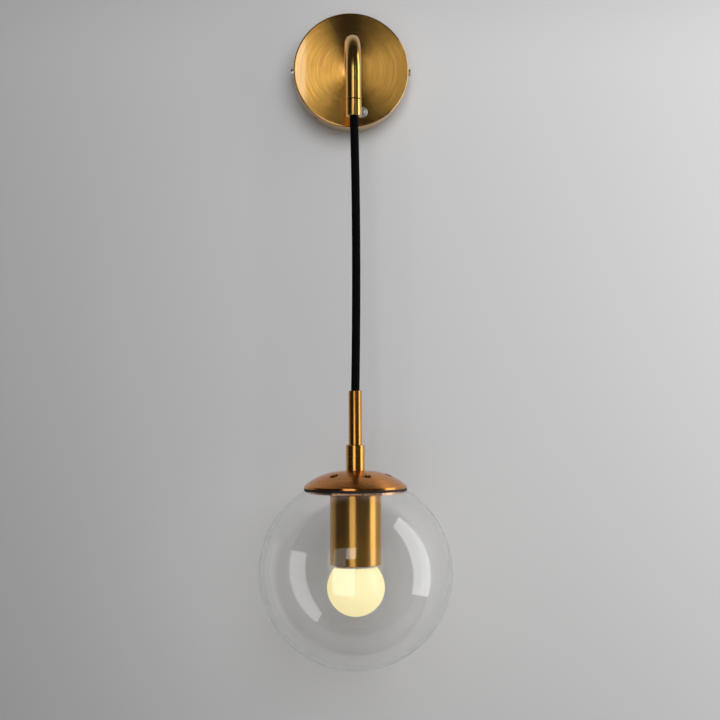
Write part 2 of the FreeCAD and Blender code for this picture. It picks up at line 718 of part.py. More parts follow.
def arm_lock_nut():
    """Nut that clamps the arm to the canopy."""
    front = CANOPY_BACK_OF_FACE_Y + LOCK_WASHER_THICKNESS
    start = Vector(0, front, 0)
    end = Vector(0, front + LOCK_NUT_HEIGHT, 0)
    return hex_nut(LOCK_NUT_ACROSS_FLATS, NIPPLE_RADIUS + SLIP, start, end)


def grip_bottom_z():
    """Lower end of the cord grip."""
    return FERRULE_MOUTH_Z + GRIP_DEPTH


def arm_ferrule():
    """Brass end piece of the arm, with a spigot in the tube and a bore for the cord grip."""
    spigot_top = ARM_END_Z + FERRULE_SPIGOT_LENGTH
    bore_top = grip_bottom_z() + GRIP_LENGTH
    mouth = FERRULE_MOUTH_RADIUS
    rounding = math.sqrt(0.5) * mouth
    outline = Outline(FERRULE_NECK_RADIUS, spigot_top)
    outline.line(ARM_BORE_RADIUS - SLIP, spigot_top).line(ARM_BORE_RADIUS - SLIP, ARM_END_Z)
    outline.line(ARM_RADIUS - JOINT_CHAMFER, ARM_END_Z)
    outline.line(ARM_RADIUS, ARM_END_Z - JOINT_CHAMFER)
    outline.line(ARM_RADIUS, FERRULE_MOUTH_Z + mouth)
    outline.arc(
        (ARM_RADIUS - mouth + rounding, FERRULE_MOUTH_Z + mouth - rounding),
        ARM_RADIUS - mouth,
        FERRULE_MOUTH_Z,
    )
    outline.line(FERRULE_BORE_RADIUS, FERRULE_MOUTH_Z).line(FERRULE_BORE_RADIUS, bore_top)
    outline.line(FERRULE_NECK_RADIUS, bore_top)
    start, end = grub_screw_ends()
    return outline.turned().cut(rod(GRUB_SCREW_RADIUS + SLIP, start, end.add(Vector(0, 1, 0))))


def cord_grip():
    """Nylon collar in the ferrule that holds the cord."""
    low = grip_bottom_z()
    return pipe_between(
        FERRULE_BORE_RADIUS - SLIP, CORD_RADIUS + SLIP, on_drop(low), on_drop(low + GRIP_LENGTH)
    )


def grub_screw_ends():
    """Inner and outer end of the grub screw, at the back of the ferrule."""
    height = on_drop(grip_bottom_z() + GRIP_LENGTH / 2)
    inner = height.add(Vector(0, FERRULE_BORE_RADIUS, 0))
    outer = height.add(Vector(0, ARM_RADIUS - JOINT_CHAMFER, 0))
    return inner, outer


def ferrule_grub_screw():
    """Headless screw that presses on the cord grip, with a hexagon socket."""
    inner, outer = grub_screw_ends()
    screw = rod(GRUB_SCREW_RADIUS, inner, outer)
    socket = Part.makeCylinder(GRUB_SCREW_RADIUS / 2, (outer.y - inner.y) / 2, outer, Vector(0, -1, 0))
    return screw.cut(socket)


def arm_cord():
    """The cord's held length, from the canopy through the arm to the cord grip."""
    end = FERRULE_MOUTH_Z + CORD_CORE_RADIUS + RUNNING_GAP
    return swept(arm_centre_line(CORD_END_Y, end), CORD_RADIUS)


# ---------------------------------------------------------------- conductors in the canopy
def conductor(points):
    """Insulated core along a route with tight bends."""
    edges, _ = rounded_route([Vector(*point) for point in points], WIRE_BEND_RADIUS)
    return swept(edges, WIRE_RADIUS)


def block_entry(pole):
    """Two points of a route that ends in the terminal block from below: outside and inside."""
    x = pole_places()[pole]
    below = BLOCK_BOTTOM - WIRE_BEND_RADIUS * 2
    return (x, WIRE_PLANE_Y, below), (x, WIRE_PLANE_Y, BLOCK_BOTTOM + WIRE_INSERT)


def lug_entry(side):
    """Two points of a route that ends on a lug of the switch: above it and on it."""
    x = lug_place(side)
    y = CANOPY_BACK_OF_FACE_Y + SWITCH_BODY_LENGTH + SWITCH_LUG_LENGTH / 2
    edge = SWITCH_Z + SWITCH_LUG_THICKNESS / 2
    return (x, y, edge + WIRE_BEND_RADIUS * 3), (x, y, edge)


def wire_neutral():
    """From the cord to the first pole of the terminal block."""
    outside, inside = block_entry(0)
    return conductor(
        [(-WIRE_OFFSET, CORD_END_Y, 0), (-WIRE_OFFSET, WIRE_PLANE_Y, 0), outside, inside]
    )


def wire_live_lamp():
    """From the cord to the switch."""
    above, end = lug_entry(-1)
    return conductor([(WIRE_OFFSET, CORD_END_Y, 0), (WIRE_OFFSET, WIRE_PLANE_Y, 0), above, end])


def wire_live_supply():
    """From the middle pole of the terminal block to the switch."""
    outside, inside = block_entry(1)
    above, end = lug_entry(1)
    side_x = above[0] + WIRE_BEND_RADIUS
    return conductor([inside, outside, (side_x, WIRE_PLANE_Y, 0), above, end])


def wire_earth():
    """From the last pole of the terminal block to the eyelet on the bracket."""
    outside, inside = block_entry(2)
    barrel_y = bracket_front_y() - EYELET_BARREL_RADIUS
    barrel_top = EYELET_RADIUS + EYELET_THICKNESS + EYELET_BARREL_LENGTH
    above = (EARTH_SCREW_X, barrel_y, barrel_top + WIRE_BEND_RADIUS * 1.5)
    return conductor([inside, outside, above, (EARTH_SCREW_X, barrel_y, barrel_top)])


# ---------------------------------------------------------------- hanging cord and stem
def cord_bend():
    """Core of the cord at the ferrule's mouth, about which the cord bends."""
    return Part.makeSphere(CORD_CORE_RADIUS, on_drop(FERRULE_MOUTH_Z))


def cord_route():
    """Points of the hanging cord, from the ferrule's mouth into the stem."""
    top = on_drop(FERRULE_MOUTH_Z - CORD_CORE_RADIUS - RUNNING_GAP)
    middle = Vector(CORD_BOW, -ARM_REACH, CORD_BOW_Z)
    return [top, middle, on_drop(STEM_MOUTH_Z - CORD_INSERT)]


def pendant_cord():
    """Woven cord that carries the globe, pulled nearly straight by its weight."""
    edges, radii = rounded_route(cord_route())
    print("cord bend radii, mm:", [round(radius) for radius in radii])
    cord = swept(edges, CORD_RADIUS)
    length = sum(edge.Length for edge in edges)
    section = math.pi * CORD_RADIUS**2
    print("cord length, mm: %.1f, volume share: %.4f" % (length, cord.Volume / (section * length)))
    return cord


def stem_tube():
    """Slim brass tube that the cord goes into."""
    edge = STEM_EDGE_RADIUS
    rounding = math.sqrt(0.5) * edge
    bottom = COUPLING_TOP_Z - STEM_INSERT
    outline = Outline(STEM_BORE_RADIUS, STEM_MOUTH_Z).line(STEM_RADIUS - edge, STEM_MOUTH_Z)
    outline.arc(
        (STEM_RADIUS - edge + rounding, STEM_MOUTH_Z - edge + rounding),
        STEM_RADIUS,
        STEM_MOUTH_Z - edge,
    )
    outline.line(STEM_RADIUS, bottom).line(STEM_BORE_RADIUS, bottom)
    return outline.turned()


def stem_grip_top_z():
    """Upper end of the grip in the stem."""
    return STEM_MOUTH_Z - CORD_INSERT - RUNNING_GAP


def lead_places(low, high):
    """Ends of the two lamp leads between two heights, as start and end points."""
    offsets = [Vector(0, side * LEAD_OFFSET, 0) for side in (-1, 1)]
    return [(on_drop(high).add(offset), on_drop(low).add(offset)) for offset in offsets]


def stem_cord_grip():
    """Nylon plug in the stem, with a hole for each lead."""
    top = stem_grip_top_z()
    low = top - STEM_GRIP_LENGTH
    plug = rod(STEM_BORE_RADIUS - SLIP, on_drop(top), on_drop(low))
    for start, end in lead_places(low, top):
        plug = plug.cut(rod(LEAD_RADIUS + SLIP, start, end))
    return plug


def stem_coupling():
    """Turned brass sleeve between the stem and the nipple in the cap."""
    top, bottom, chamfer = COUPLING_TOP_Z, CAP_TOP_Z, COUPLING_CHAMFER
    seat = top - STEM_INSERT
    thread_top = bottom + DROP_NIPPLE_INSERT
    outline = Outline(STEM_RADIUS + SLIP, top).line(COUPLING_RADIUS - chamfer, top)
    outline.line(COUPLING_RADIUS, top - chamfer).line(COUPLING_RADIUS, bottom + chamfer)
    outline.line(COUPLING_RADIUS - chamfer, bottom).line(NIPPLE_RADIUS + SLIP, bottom)
    outline.line(NIPPLE_RADIUS + SLIP, thread_top).line(STEM_BORE_RADIUS, thread_top)
    outline.line(STEM_BORE_RADIUS, seat).line(STEM_RADIUS + SLIP, seat)
    return outline.turned()


def drop_nipple():
    """Threaded tube through the cap, the plate and the cup, down into the lamp holder."""
    top = on_drop(CAP_TOP_Z + DROP_NIPPLE_INSERT)
    return pipe_between(NIPPLE_RADIUS, NIPPLE_BORE_RADIUS, top, on_drop(HOLDER_THREAD_END_Z))


def lamp_leads():
    """Live and neutral leads from the cord's end to the lamp holder."""
    ends = lead_places(CONTACT_TOP_Z, STEM_MOUTH_Z - CORD_INSERT - RUNNING_GAP)
    return Part.makeCompound([rod(LEAD_RADIUS, start, end) for start, end in ends])


# ---------------------------------------------------------------- cap, glass and plate
def cap_skin(offset):
    """Radius and height of the cap's shoulder arc, moved inward by offset: start, middle, end."""
    radius = CAP_SHOULDER_RADIUS - offset
    centre = (CAP_PLATEAU_RADIUS, CAP_TOP_Z - CAP_SHOULDER_RADIUS)
    rim = CAP_RADIUS - offset - CAP_PLATEAU_RADIUS
    end_angle = math.degrees(math.acos(rim / radius))
    middle_angle = (90 + end_angle) / 2
    return [on_circle(*centre, radius, angle) for angle in (90, middle_angle, end_angle)]


def dome_cap():
    """Spun brass cap with a turned-down rim and a ring of vent holes."""
    outer = cap_skin(0)
    inner = cap_skin(CAP_WALL)
    hole = NIPPLE_RADIUS + HOLE_PLAY
    outline = Outline(hole, CAP_TOP_Z).line(*outer[0]).arc(outer[1], *outer[2])
    outline.line(CAP_RADIUS, CAP_RIM_Z).line(CAP_RADIUS - CAP_WALL, CAP_RIM_Z)
    outline.line(*inner[2]).arc(inner[1], *inner[0]).line(hole, CAP_TOP_Z - CAP_WALL)
    cap = outline.turned()
    for place in ring_places(VENT_CIRCLE_RADIUS, VENT_COUNT, VENT_FIRST_ANGLE):
        low = on_drop(CAP_RIM_Z).add(place)
        cap = cap.cut(rod(VENT_RADIUS, low, on_drop(CAP_TOP_Z + CAP_WALL).add(place)))
    return cap


def ring_places(radius, count, first_angle):
    """Offsets from the drop axis of evenly spaced places on a circle."""
    places = []
    for i in range(count):
        angle = math.radians(first_angle + 360 * i / count)
        places.append(Vector(radius * math.cos(angle), -radius * math.sin(angle), 0))
    return places


def glass_globe():
    """Blown glass ball with a round opening at its top and a fire-polished lip."""
    centre = GLOBE_CENTRE_Z
    lip = GLOBE_WALL / 2
    middle_radius = GLOBE_RADIUS - lip
    edge_angle = math.degrees(math.acos((GLOBE_OPENING_RADIUS + lip) / middle_radius))
    lip_centre = on_circle(0, centre, middle_radius, edge_angle)
    outer_edge = on_circle(0, centre, GLOBE_RADIUS, edge_angle)
    inner_edge = on_circle(0, centre, GLOBE_INNER_RADIUS, edge_angle)
    lip_middle = on_circle(*lip_centre, lip, edge_angle + 90)
    outline = Outline(0, centre - GLOBE_RADIUS)
    outline.arc(on_circle(0, centre, GLOBE_RADIUS, (edge_angle - 90) / 2), *outer_edge)
    outline.arc(lip_middle, *inner_edge)
    middle = on_circle(0, centre, GLOBE_INNER_RADIUS, (edge_angle - 90) / 2)
    outline.arc(middle, 0, centre - GLOBE_INNER_RADIUS)
    return outline.turned()


def upper_gasket():
    """Rubber ring between the cap's rim and the outside of the glass."""
    bottom = CAP_RIM_Z - GLOBE_SEAT_DROP * 2
    ring = pipe_between(
        CAP_RADIUS, CAP_RADIUS - UPPER_GASKET_WIDTH, on_drop(CAP_RIM_Z), on_drop(bottom)
    )
    return ring.cut(Part.makeSphere(GLOBE_RADIUS + GASKET_GAP, on_drop(GLOBE_CENTRE_Z)))


def lower_gasket():
    """Rubber ring between the inside of the glass and the retaining plate."""
    top = on_drop(PLATE_TOP_Z + LOWER_GASKET_WIDTH)
    ring = pipe_between(PLATE_RADIUS, PLATE_RADIUS - LOWER_GASKET_WIDTH, on_drop(PLATE_TOP_Z), top)
    return ring.common(Part.makeSphere(GLOBE_INNER_RADIUS - GASKET_GAP, on_drop(GLOBE_CENTRE_Z)))


def retaining_plate():
    """Brass plate inside the glass, drawn up against it by the nut in the cup."""
    plate = pipe_between(
        PLATE_RADIUS, NIPPLE_RADIUS + HOLE_PLAY, on_drop(PLATE_TOP_Z), on_drop(CUP_TOP_Z)
    )
    crop = block(
        on_drop(CUP_TOP_Z).add(Vector(-PLATE_RADIUS, -PLATE_HALF_WIDTH, 0)),
        on_drop(PLATE_TOP_Z).add(Vector(PLATE_RADIUS, PLATE_HALF_WIDTH, 0)),
    )
    plate = plate.common(crop)
    for place in ring_places(VENT_CIRCLE_RADIUS, VENT_COUNT, VENT_FIRST_ANGLE):
        start = on_drop(PLATE_TOP_Z).add(place)
        plate = plate.cut(rod(PLATE_VENT_RADIUS, start, on_drop(CUP_TOP_Z).add(place)))
    return plate


# ---------------------------------------------------------------- cup and lamp holder
def socket_cup():
    """Drawn brass cup over the lamp holder."""
    cup = rod(CUP_RADIUS, on_drop(CUP_TOP_Z), on_drop(CUP_MOUTH_Z))
    top_edges = [edge for edge in cup.Edges if edge.BoundBox.ZMin > CUP_TOP_Z - SLIP]
    cup = cup.makeFillet(CUP_EDGE_RADIUS, top_edges)
    inside = rod(CUP_RADIUS - CUP_WALL, on_drop(CUP_TOP_Z - CUP_WALL), on_drop(CUP_MOUTH_Z))
    inner_edges = [edge for edge in inside.Edges if edge.BoundBox.ZMin > HOLDER_NUT_TOP_Z - SLIP]
    inside = inside.makeFillet(max(CUP_EDGE_RADIUS - CUP_WALL, SLIP), inner_edges)
    cup = cup.cut(inside)
    return cup.cut(rod(NIPPLE_RADIUS + HOLE_PLAY, on_drop(CUP_TOP_Z), on_drop(HOLDER_NUT_TOP_Z)))


def holder_nut():
    """Nut on the nipple that clamps cap, glass, plate and cup together."""
    start, end = on_drop(HOLDER_NUT_TOP_Z), on_drop(HOLDER_TOP_Z)
    return hex_nut(LOCK_NUT_ACROSS_FLATS, NIPPLE_RADIUS + SLIP, start, end)


def lamp_holder_body():
    """Moulded holder screwed on the nipple, open below for the bulb's base."""
    bottom = HOLDER_TOP_Z - HOLDER_LENGTH
    body = rod(HOLDER_RADIUS, on_drop(HOLDER_TOP_Z), on_drop(bottom))
    body = body.makeFillet(HOLDER_EDGE_RADIUS, [e for e in body.Edges if e.BoundBox.ZLength < SLIP])
    thread = rod(NIPPLE_RADIUS + SLIP, on_drop(HOLDER_TOP_Z), on_drop(HOLDER_THREAD_END_Z))
    body = body.cut(thread).cut(rod(HOLDER_CAVITY_RADIUS, on_drop(CONTACT_TOP_Z), on_drop(bottom)))
    for start, end in lead_places(CONTACT_TOP_Z, HOLDER_THREAD_END_Z):
        body = body.cut(rod(LEAD_RADIUS + HOLE_PLAY, start, end))
    return body


def lamp_holder_shell():
    """Screw shell of the holder, with a tab to the neutral lead at its top."""
    outer = HOLDER_SHELL_RADIUS + HOLDER_SHELL_WALL
    bottom = CONTACT_TOP_Z - HOLDER_SHELL_LENGTH
    shell = pipe_between(outer, HOLDER_SHELL_RADIUS, on_drop(CONTACT_TOP_Z), on_drop(bottom))
    low = on_drop(CONTACT_TOP_Z - CONTACT_THICKNESS)
    tab = block(
        low.add(Vector(-CONTACT_HALF_WIDTH, CONTACT_BUMP_RADIUS + TAB_GAP, 0)),
        on_drop(CONTACT_TOP_Z).add(Vector(CONTACT_HALF_WIDTH, HOLDER_SHELL_RADIUS + SLIP * 2, 0)),
    )
    return shell.fuse(tab).removeSplitter()


def centre_contact():
    """Contact strip under the holder's ceiling, with a bump for the bulb's tip."""
    low = on_drop(CONTACT_TOP_Z - CONTACT_THICKNESS)
    strip = block(
        low.add(Vector(-CONTACT_HALF_WIDTH, CONTACT_BUMP_RADIUS - CONTACT_LENGTH, 0)),
        on_drop(CONTACT_TOP_Z).add(Vector(CONTACT_HALF_WIDTH, CONTACT_BUMP_RADIUS, 0)),
    )
    return strip.fuse(rod(CONTACT_BUMP_RADIUS, low, on_drop(CONTACT_TIP_Z))).removeSplitter()


# ---------------------------------------------------------------- bulb
def shade_neck(offset):
    """Where the neck leaves the ball and where it ends: two radii and heights, moved in by offset."""
    ball = BULB_RADIUS
    angle = math.degrees(math.acos(BULB_SHADE_TANGENT_RADIUS / ball))
    tangent = on_circle(0, BULB_CENTRE_Z, ball - offset, angle)
    outer_tangent = on_circle(0, BULB_CENTRE_Z, ball, angle)
    slope = math.tan(math.radians(angle))
    drop = (BULB_SHADE_TOP_Z - outer_tangent[1]) * slope
    end_radius = outer_tangent[0] - drop - offset / math.cos(math.radians(angle))
    return tangent, (end_radius, BULB_SHADE_TOP_Z), angle


def bulb_diffuser():
    """Opal ball of the bulb with its neck."""
    tangent, end, angle = shade_neck(0)
    inner_tangent, inner_end, _ = shade_neck(BULB_WALL)
    middle_angle = (angle - 90) / 2
    outline = Outline(0, BULB_BOTTOM_Z)
    outline.arc(on_circle(0, BULB_CENTRE_Z, BULB_RADIUS, middle_angle), *tangent)
    outline.line(*end).line(*inner_end).line(*inner_tangent)
    inner_ball = BULB_RADIUS - BULB_WALL
    middle = on_circle(0, BULB_CENTRE_Z, inner_ball, middle_angle)
    outline.arc(middle, 0, BULB_CENTRE_Z - inner_ball)
    return outline.turned()


def bulb_collar():
    """White housing between the diffuser and the screw base."""
    _, end, _ = shade_neck(0)
    top = BULB_COLLAR_TOP_RADIUS
    wall = BULB_COLLAR_WALL
    step = BASE_BOTTOM_Z + wall
    outline = Outline(end[0], BULB_SHADE_TOP_Z).line(top, BASE_BOTTOM_Z)
    outline.line(base_root_radius() - BASE_WALL - SLIP, BASE_BOTTOM_Z)
    outline.line(base_root_radius() - BASE_WALL - SLIP, step + wall)
    outline.line(base_root_radius() - BASE_WALL - wall, step + wall)
    outline.line(base_root_radius() - BASE_WALL - wall, BASE_BOTTOM_Z - wall)
    outline.line(end[0] - wall, BULB_SHADE_TOP_Z)
    return outline.turned()


def base_root_radius():
    """Root of the base's thread."""
    return BASE_RADIUS - BASE_THREAD_DEPTH


def bulb_base():
    """Rolled screw shell of the bulb, its thread as rings of the thread's pitch."""
    root = base_root_radius()
    outline = Outline(root, BASE_BOTTOM_Z)
    first = BASE_BOTTOM_Z + BASE_WALL * 2
    outline.line(root, first)
    for turn in range(BASE_THREAD_TURNS):
        low = first + turn * BASE_THREAD_PITCH
        crest = low + BASE_THREAD_PITCH / 2
        outline.arc((BASE_RADIUS, crest), root, low + BASE_THREAD_PITCH)
    outline.line(root, BASE_TOP_Z).line(root - BASE_WALL, BASE_TOP_Z)
    outline.line(root - BASE_WALL, BASE_BOTTOM_Z)
    return outline.turned()


def bulb_insulator():
    """Black ring between the screw shell and the tip contact."""
    root = base_root_radius()
    top = BASE_TOP_Z + INSULATOR_HEIGHT
    outline = Outline(0, BASE_TOP_Z - BASE_WALL).line(root - BASE_WALL, BASE_TOP_Z - BASE_WALL)
    outline.line(root - BASE_WALL, BASE_TOP_Z).line(INSULATOR_TOP_RADIUS, top).line(0, top)
    return outline.turned()


def bulb_tip_contact():
    """Solder dome at the end of the base."""
    low = BASE_TOP_Z + INSULATOR_HEIGHT
    shoulder = TIP_RADIUS - TIP_FLAT_RADIUS
    share = math.sqrt(0.5)
    dome = Outline(0, low).line(TIP_RADIUS, low)
    middle = (TIP_FLAT_RADIUS + shoulder * share, low + TIP_HEIGHT * share)
    dome.arc(middle, TIP_FLAT_RADIUS, BULB_TIP_Z).line(0, BULB_TIP_Z)
    return dome.turned()


def led_board():
    """Round aluminium board on the collar, with a ring of diodes that face down."""
    _, end, _ = shade_neck(0)
    radius = end[0] - BULB_WALL * 2
    top = BULB_SHADE_TOP_Z
    bottom = top - LED_BOARD_THICKNESS
    board = rod(radius, on_drop(top), on_drop(bottom))
    half = LED_SIDE / 2
    for place in ring_places(radius * 0.62, LED_COUNT, 0):
        corner = on_drop(bottom).add(place)
        low = corner.add(Vector(-half, -half, -LED_THICKNESS))
        board = board.fuse(block(low, corner.add(Vector(half, half, 0))))
    return board.removeSplitter()


def driver_board():
    """Circuit board of the bulb's driver, upright inside the screw base."""
    low = on_drop(BULB_SHADE_TOP_Z).add(Vector(-DRIVER_WIDTH / 2, -DRIVER_THICKNESS / 2, 0))
    top = on_drop(BASE_TOP_Z - BASE_WALL).add(Vector(DRIVER_WIDTH / 2, DRIVER_THICKNESS / 2, 0))
    return block(low, top)


# ---------------------------------------------------------------- the whole part
SUB_PARTS = [
    canopy_cover,
    mounting_bracket,
    canopy_side_screws,
    earth_screw,
    earth_eyelet,
    terminal_block,
    terminal_screws,
    block_screws,
    switch_body,
    switch_bezel,
    switch_button,
    arm_tube,
    arm_nipple,
    arm_lock_washer,
    arm_lock_nut,
    arm_ferrule,
    cord_grip,
    ferrule_grub_screw,
    arm_cord,
    wire_neutral,
    wire_live_lamp,
    wire_live_supply,
    wire_earth,
    cord_bend,
    pendant_cord,
    stem_tube,
    stem_cord_grip,
    stem_coupling,
    drop_nipple,
    lamp_leads,
    dome_cap,
    upper_gasket,
    glass_globe,
    lower_gasket,
    retaining_plate,
    socket_cup,
    holder_nut,
    lamp_holder_body,
    lamp_holder_shell,
    centre_contact,
    bulb_diffuser,
    bulb_collar,
    bulb_base,
    bulb_insulator,
    bulb_tip_contact,
    led_board,
    driver_board,
]


def main():
    """Build each sub-part and write it to its own file."""
    os.makedirs("parts", exist_ok=True)
    for build in SUB_PARTS:
        shape = build()
        if not shape.isValid():
            raise ValueError(build.__name__ + " is not a valid shape")
        shape.exportStep(os.path.join("parts", build.__name__ + ".step"))
        print("%-20s %2d solids %10.1f mm3" % (build.__name__, len(shape.Solids), shape.Volume))


main()
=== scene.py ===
"""Looks of the globe wall sconce: finishes, lathe-turned metal, woven cord, clear globe and lit bulb.

Metres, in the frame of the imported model: the origin is the canopy's centre on the wall plane, +Z is
up and -Y points into the room. Every piece of the pendant is turned about the drop axis.
"""

import json
import logging
import math
from collections.abc import Sequence
from dataclasses import dataclass, field
from enum import Enum

import bmesh
import bpy
from bmesh.types import BMesh, BMFace, BMVert
from bpy.types import Material, Node
from bpy.types import Object as Piece
from mathutils import Matrix, Vector

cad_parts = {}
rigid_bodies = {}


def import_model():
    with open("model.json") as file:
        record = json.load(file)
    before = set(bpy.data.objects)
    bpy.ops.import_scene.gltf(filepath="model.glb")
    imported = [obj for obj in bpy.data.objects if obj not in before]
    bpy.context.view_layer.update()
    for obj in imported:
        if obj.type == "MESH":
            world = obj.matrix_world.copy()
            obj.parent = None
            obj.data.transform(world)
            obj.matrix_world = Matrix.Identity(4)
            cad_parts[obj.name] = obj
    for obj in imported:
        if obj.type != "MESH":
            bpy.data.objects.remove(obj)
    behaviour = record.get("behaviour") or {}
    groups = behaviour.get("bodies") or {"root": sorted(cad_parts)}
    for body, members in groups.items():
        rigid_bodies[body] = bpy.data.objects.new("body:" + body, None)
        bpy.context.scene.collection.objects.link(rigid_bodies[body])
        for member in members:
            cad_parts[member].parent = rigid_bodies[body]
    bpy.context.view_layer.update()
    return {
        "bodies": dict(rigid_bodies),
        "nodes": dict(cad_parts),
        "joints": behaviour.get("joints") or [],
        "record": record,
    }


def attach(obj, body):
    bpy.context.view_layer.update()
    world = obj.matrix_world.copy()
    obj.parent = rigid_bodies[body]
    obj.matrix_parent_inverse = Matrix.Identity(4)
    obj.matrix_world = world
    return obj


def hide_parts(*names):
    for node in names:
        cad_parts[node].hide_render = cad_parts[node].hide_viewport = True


Colour = tuple[float, float, float]
Place = tuple[float, float, float]
Stops = Sequence[tuple[float, Colour]]  # places from 0 to 1 with their colours

LOG = logging.getLogger("sconce")
MM = 0.001
REACH = 90.0 * MM  # from the wall to the drop axis
DROP = Vector((0.0, -REACH, 0.0))
RIGHT = Vector((1.0, 0.0, 0.0))
UP = Vector((0.0, 0.0, 1.0))
ROOM = Vector((0.0, -1.0, 0.0))
SMOOTH_ANGLE = math.radians(32)
BALL_ANGLE = math.radians(60)  # for pieces that are round in every direction
WELD = 0.002 * MM  # points nearer than this become one
ON_AXIS = 0.01 * MM  # a point nearer to the axis than this has no angle of its own
ON_HOLE = 0.02 * MM  # how near to a drill's radius its hole's edges lie
HOLE_LEAN = 0.2  # a face whose normal leans less than this along the drill is the hole's wall
DRILL_SIDES = 48
FINE_RIM = 0.12 * MM  # broken edge of a hole that shows
NIPPLE_HOLE = 5.15 * MM  # radius of the holes that a threaded nipple goes through
TURNING = "turning"  # the UV layer that the tool marks follow


# ------------------------------------------------------------------ modelling by hand
def clear_selection() -> None:
    """Leave nothing selected and nothing active."""
    if bpy.context.object is not None and bpy.context.object.mode != "OBJECT":
        bpy.ops.object.mode_set(mode="OBJECT")
    bpy.ops.object.select_all(action="DESELECT")
    bpy.context.view_layer.objects.active = None


def only(piece: Piece) -> None:
    """Make this the one selected and active object.

    Args:
        piece: The object to select.
    """
    clear_selection()
    piece.select_set(True)
    bpy.context.view_layer.objects.active = piece


def smooth(piece: Piece, angle: float = SMOOTH_ANGLE) -> None:
    """Shade a piece smoothly except over sharp edges.

    Args:
        piece: The mesh object.
        angle: The least angle of an edge that stays sharp.
    """
    only(piece)
    bpy.ops.object.shade_smooth_by_angle(angle=angle)


def settle(piece: Piece) -> None:
    """Apply the object's place, so that the mesh itself is where the piece is.

    Args:
        piece: The mesh object.
    """
    only(piece)
    bpy.ops.object.transform_apply(location=True, rotation=True, scale=True)


class Outline:
    """Closed outline in radius and height that a lathe turns into a piece."""

    def __init__(self, radius: float, height: float) -> None:
        """Start the outline at a first point."""
        self.points: list[tuple[float, float]] = [(radius, height)]

    def line(self, radius: float, height: float) -> "Outline":
        """Go straight to a point."""
        self.points.append((radius, height))
        return self

    def arc(self, centre: tuple[float, float], turn: float, steps: int) -> "Outline":
        """Go round a centre from the last point.

        Args:
            centre: Radius and height of the arc's centre.
            turn: Degrees, positive from the radius axis towards the height axis.
            steps: How many straight pieces stand for the arc.

        Returns:
            The outline, for the next stretch.
        """
        from_centre = (self.points[-1][0] - centre[0], self.points[-1][1] - centre[1])
        for i in range(1, steps + 1):
            angle = math.radians(turn) * i / steps
            cosine, sine = math.cos(angle), math.sin(angle)
            radius = centre[0] + from_centre[0] * cosine - from_centre[1] * sine
            height = centre[1] + from_centre[0] * sine + from_centre[1] * cosine
            self.points.append((max(radius, 0.0), height))
        return self


class Axis(Enum):
    """The two axes that pieces are turned about."""

    DROP = "drop"
    WALL = "wall"


def place_on(axis: Axis, radius: float, height: float) -> Vector:
    """Point of the lathe's plane.

    Args:
        axis: The lathe's axis. On WALL, height counts from the wall into the room.
        radius: Distance from the axis.
        height: Place along the axis.

    Returns:
        The point in the row frame.
    """
    if axis is Axis.DROP:
        return Vector((radius, -REACH, height))
    return Vector((radius, -height, 0.0))


def turned(name: str, outline: Outline, axis: Axis, steps: int, at: Vector | None = None) -> Piece:
    """Turn an outline about an axis by spinning it, with UVs along the tool marks.

    Args:
        name: The new object's name.
        outline: The closed outline.
        axis: The axis to turn about.
        steps: How many faces the round has.
        at: Shift of the axis from its usual place.

    Returns:
        The turned piece, with outward faces and smooth shading.
    """
    clear_selection()
    bpy.ops.mesh.primitive_circle_add(vertices=len(outline.points), radius=MM)
    piece = bpy.context.object
    piece.name = piece.data.name = name
    shift = at or Vector()
    for vertex, (radius, height) in zip(piece.data.vertices, outline.points):
        vertex.co = place_on(axis, radius, height) + shift
    settle(piece)
    centre = place_on(axis, 0.0, 0.0) + shift
    direction = UP if axis is Axis.DROP else ROOM
    bpy.ops.object.mode_set(mode="EDIT")
    bpy.ops.mesh.select_all(action="SELECT")
    bpy.ops.mesh.spin(steps=steps, angle=math.tau, center=centre, axis=direction, use_auto_merge=True)
    bpy.ops.mesh.select_all(action="SELECT")
    bpy.ops.mesh.remove_doubles(threshold=WELD)
    bpy.ops.mesh.delete_loose()
    bpy.ops.mesh.select_all(action="SELECT")
    bpy.ops.mesh.normals_make_consistent(inside=False)
    bpy.ops.object.mode_set(mode="OBJECT")
    lay_turning_uv(piece, centre, direction)
    smooth(piece)
    return piece


def lay_turning_uv(piece: Piece, centre: Vector, direction: Vector) -> None:
    """Give a turned piece UVs: U in turns round the axis, V along the outline in metres.

    Args:
        piece: The turned mesh.
        centre: A point of the axis.
        direction: The axis, of length 1.
    """
    side = direction.orthogonal().normalized()
    other = direction.cross(side)
    layer = piece.data.uv_layers.new(name=TURNING)
    for face in piece.data.polygons:
        middle = face.center - centre
        middle_angle = math.atan2(middle.dot(other), middle.dot(side))
        for loop in face.loop_indices:
            spoke = piece.data.vertices[piece.data.loops[loop].vertex_index].co - centre
            along = spoke.dot(direction)
            across = (spoke - direction * along).length
            angle = math.atan2(spoke.dot(other), spoke.dot(side)) if across > ON_AXIS else middle_angle
            while angle - middle_angle > math.pi:
                angle -= math.tau
            while angle - middle_angle < -math.pi:
                angle += math.tau
            layer.data[loop].uv = (angle / math.tau + 0.5, across + along)


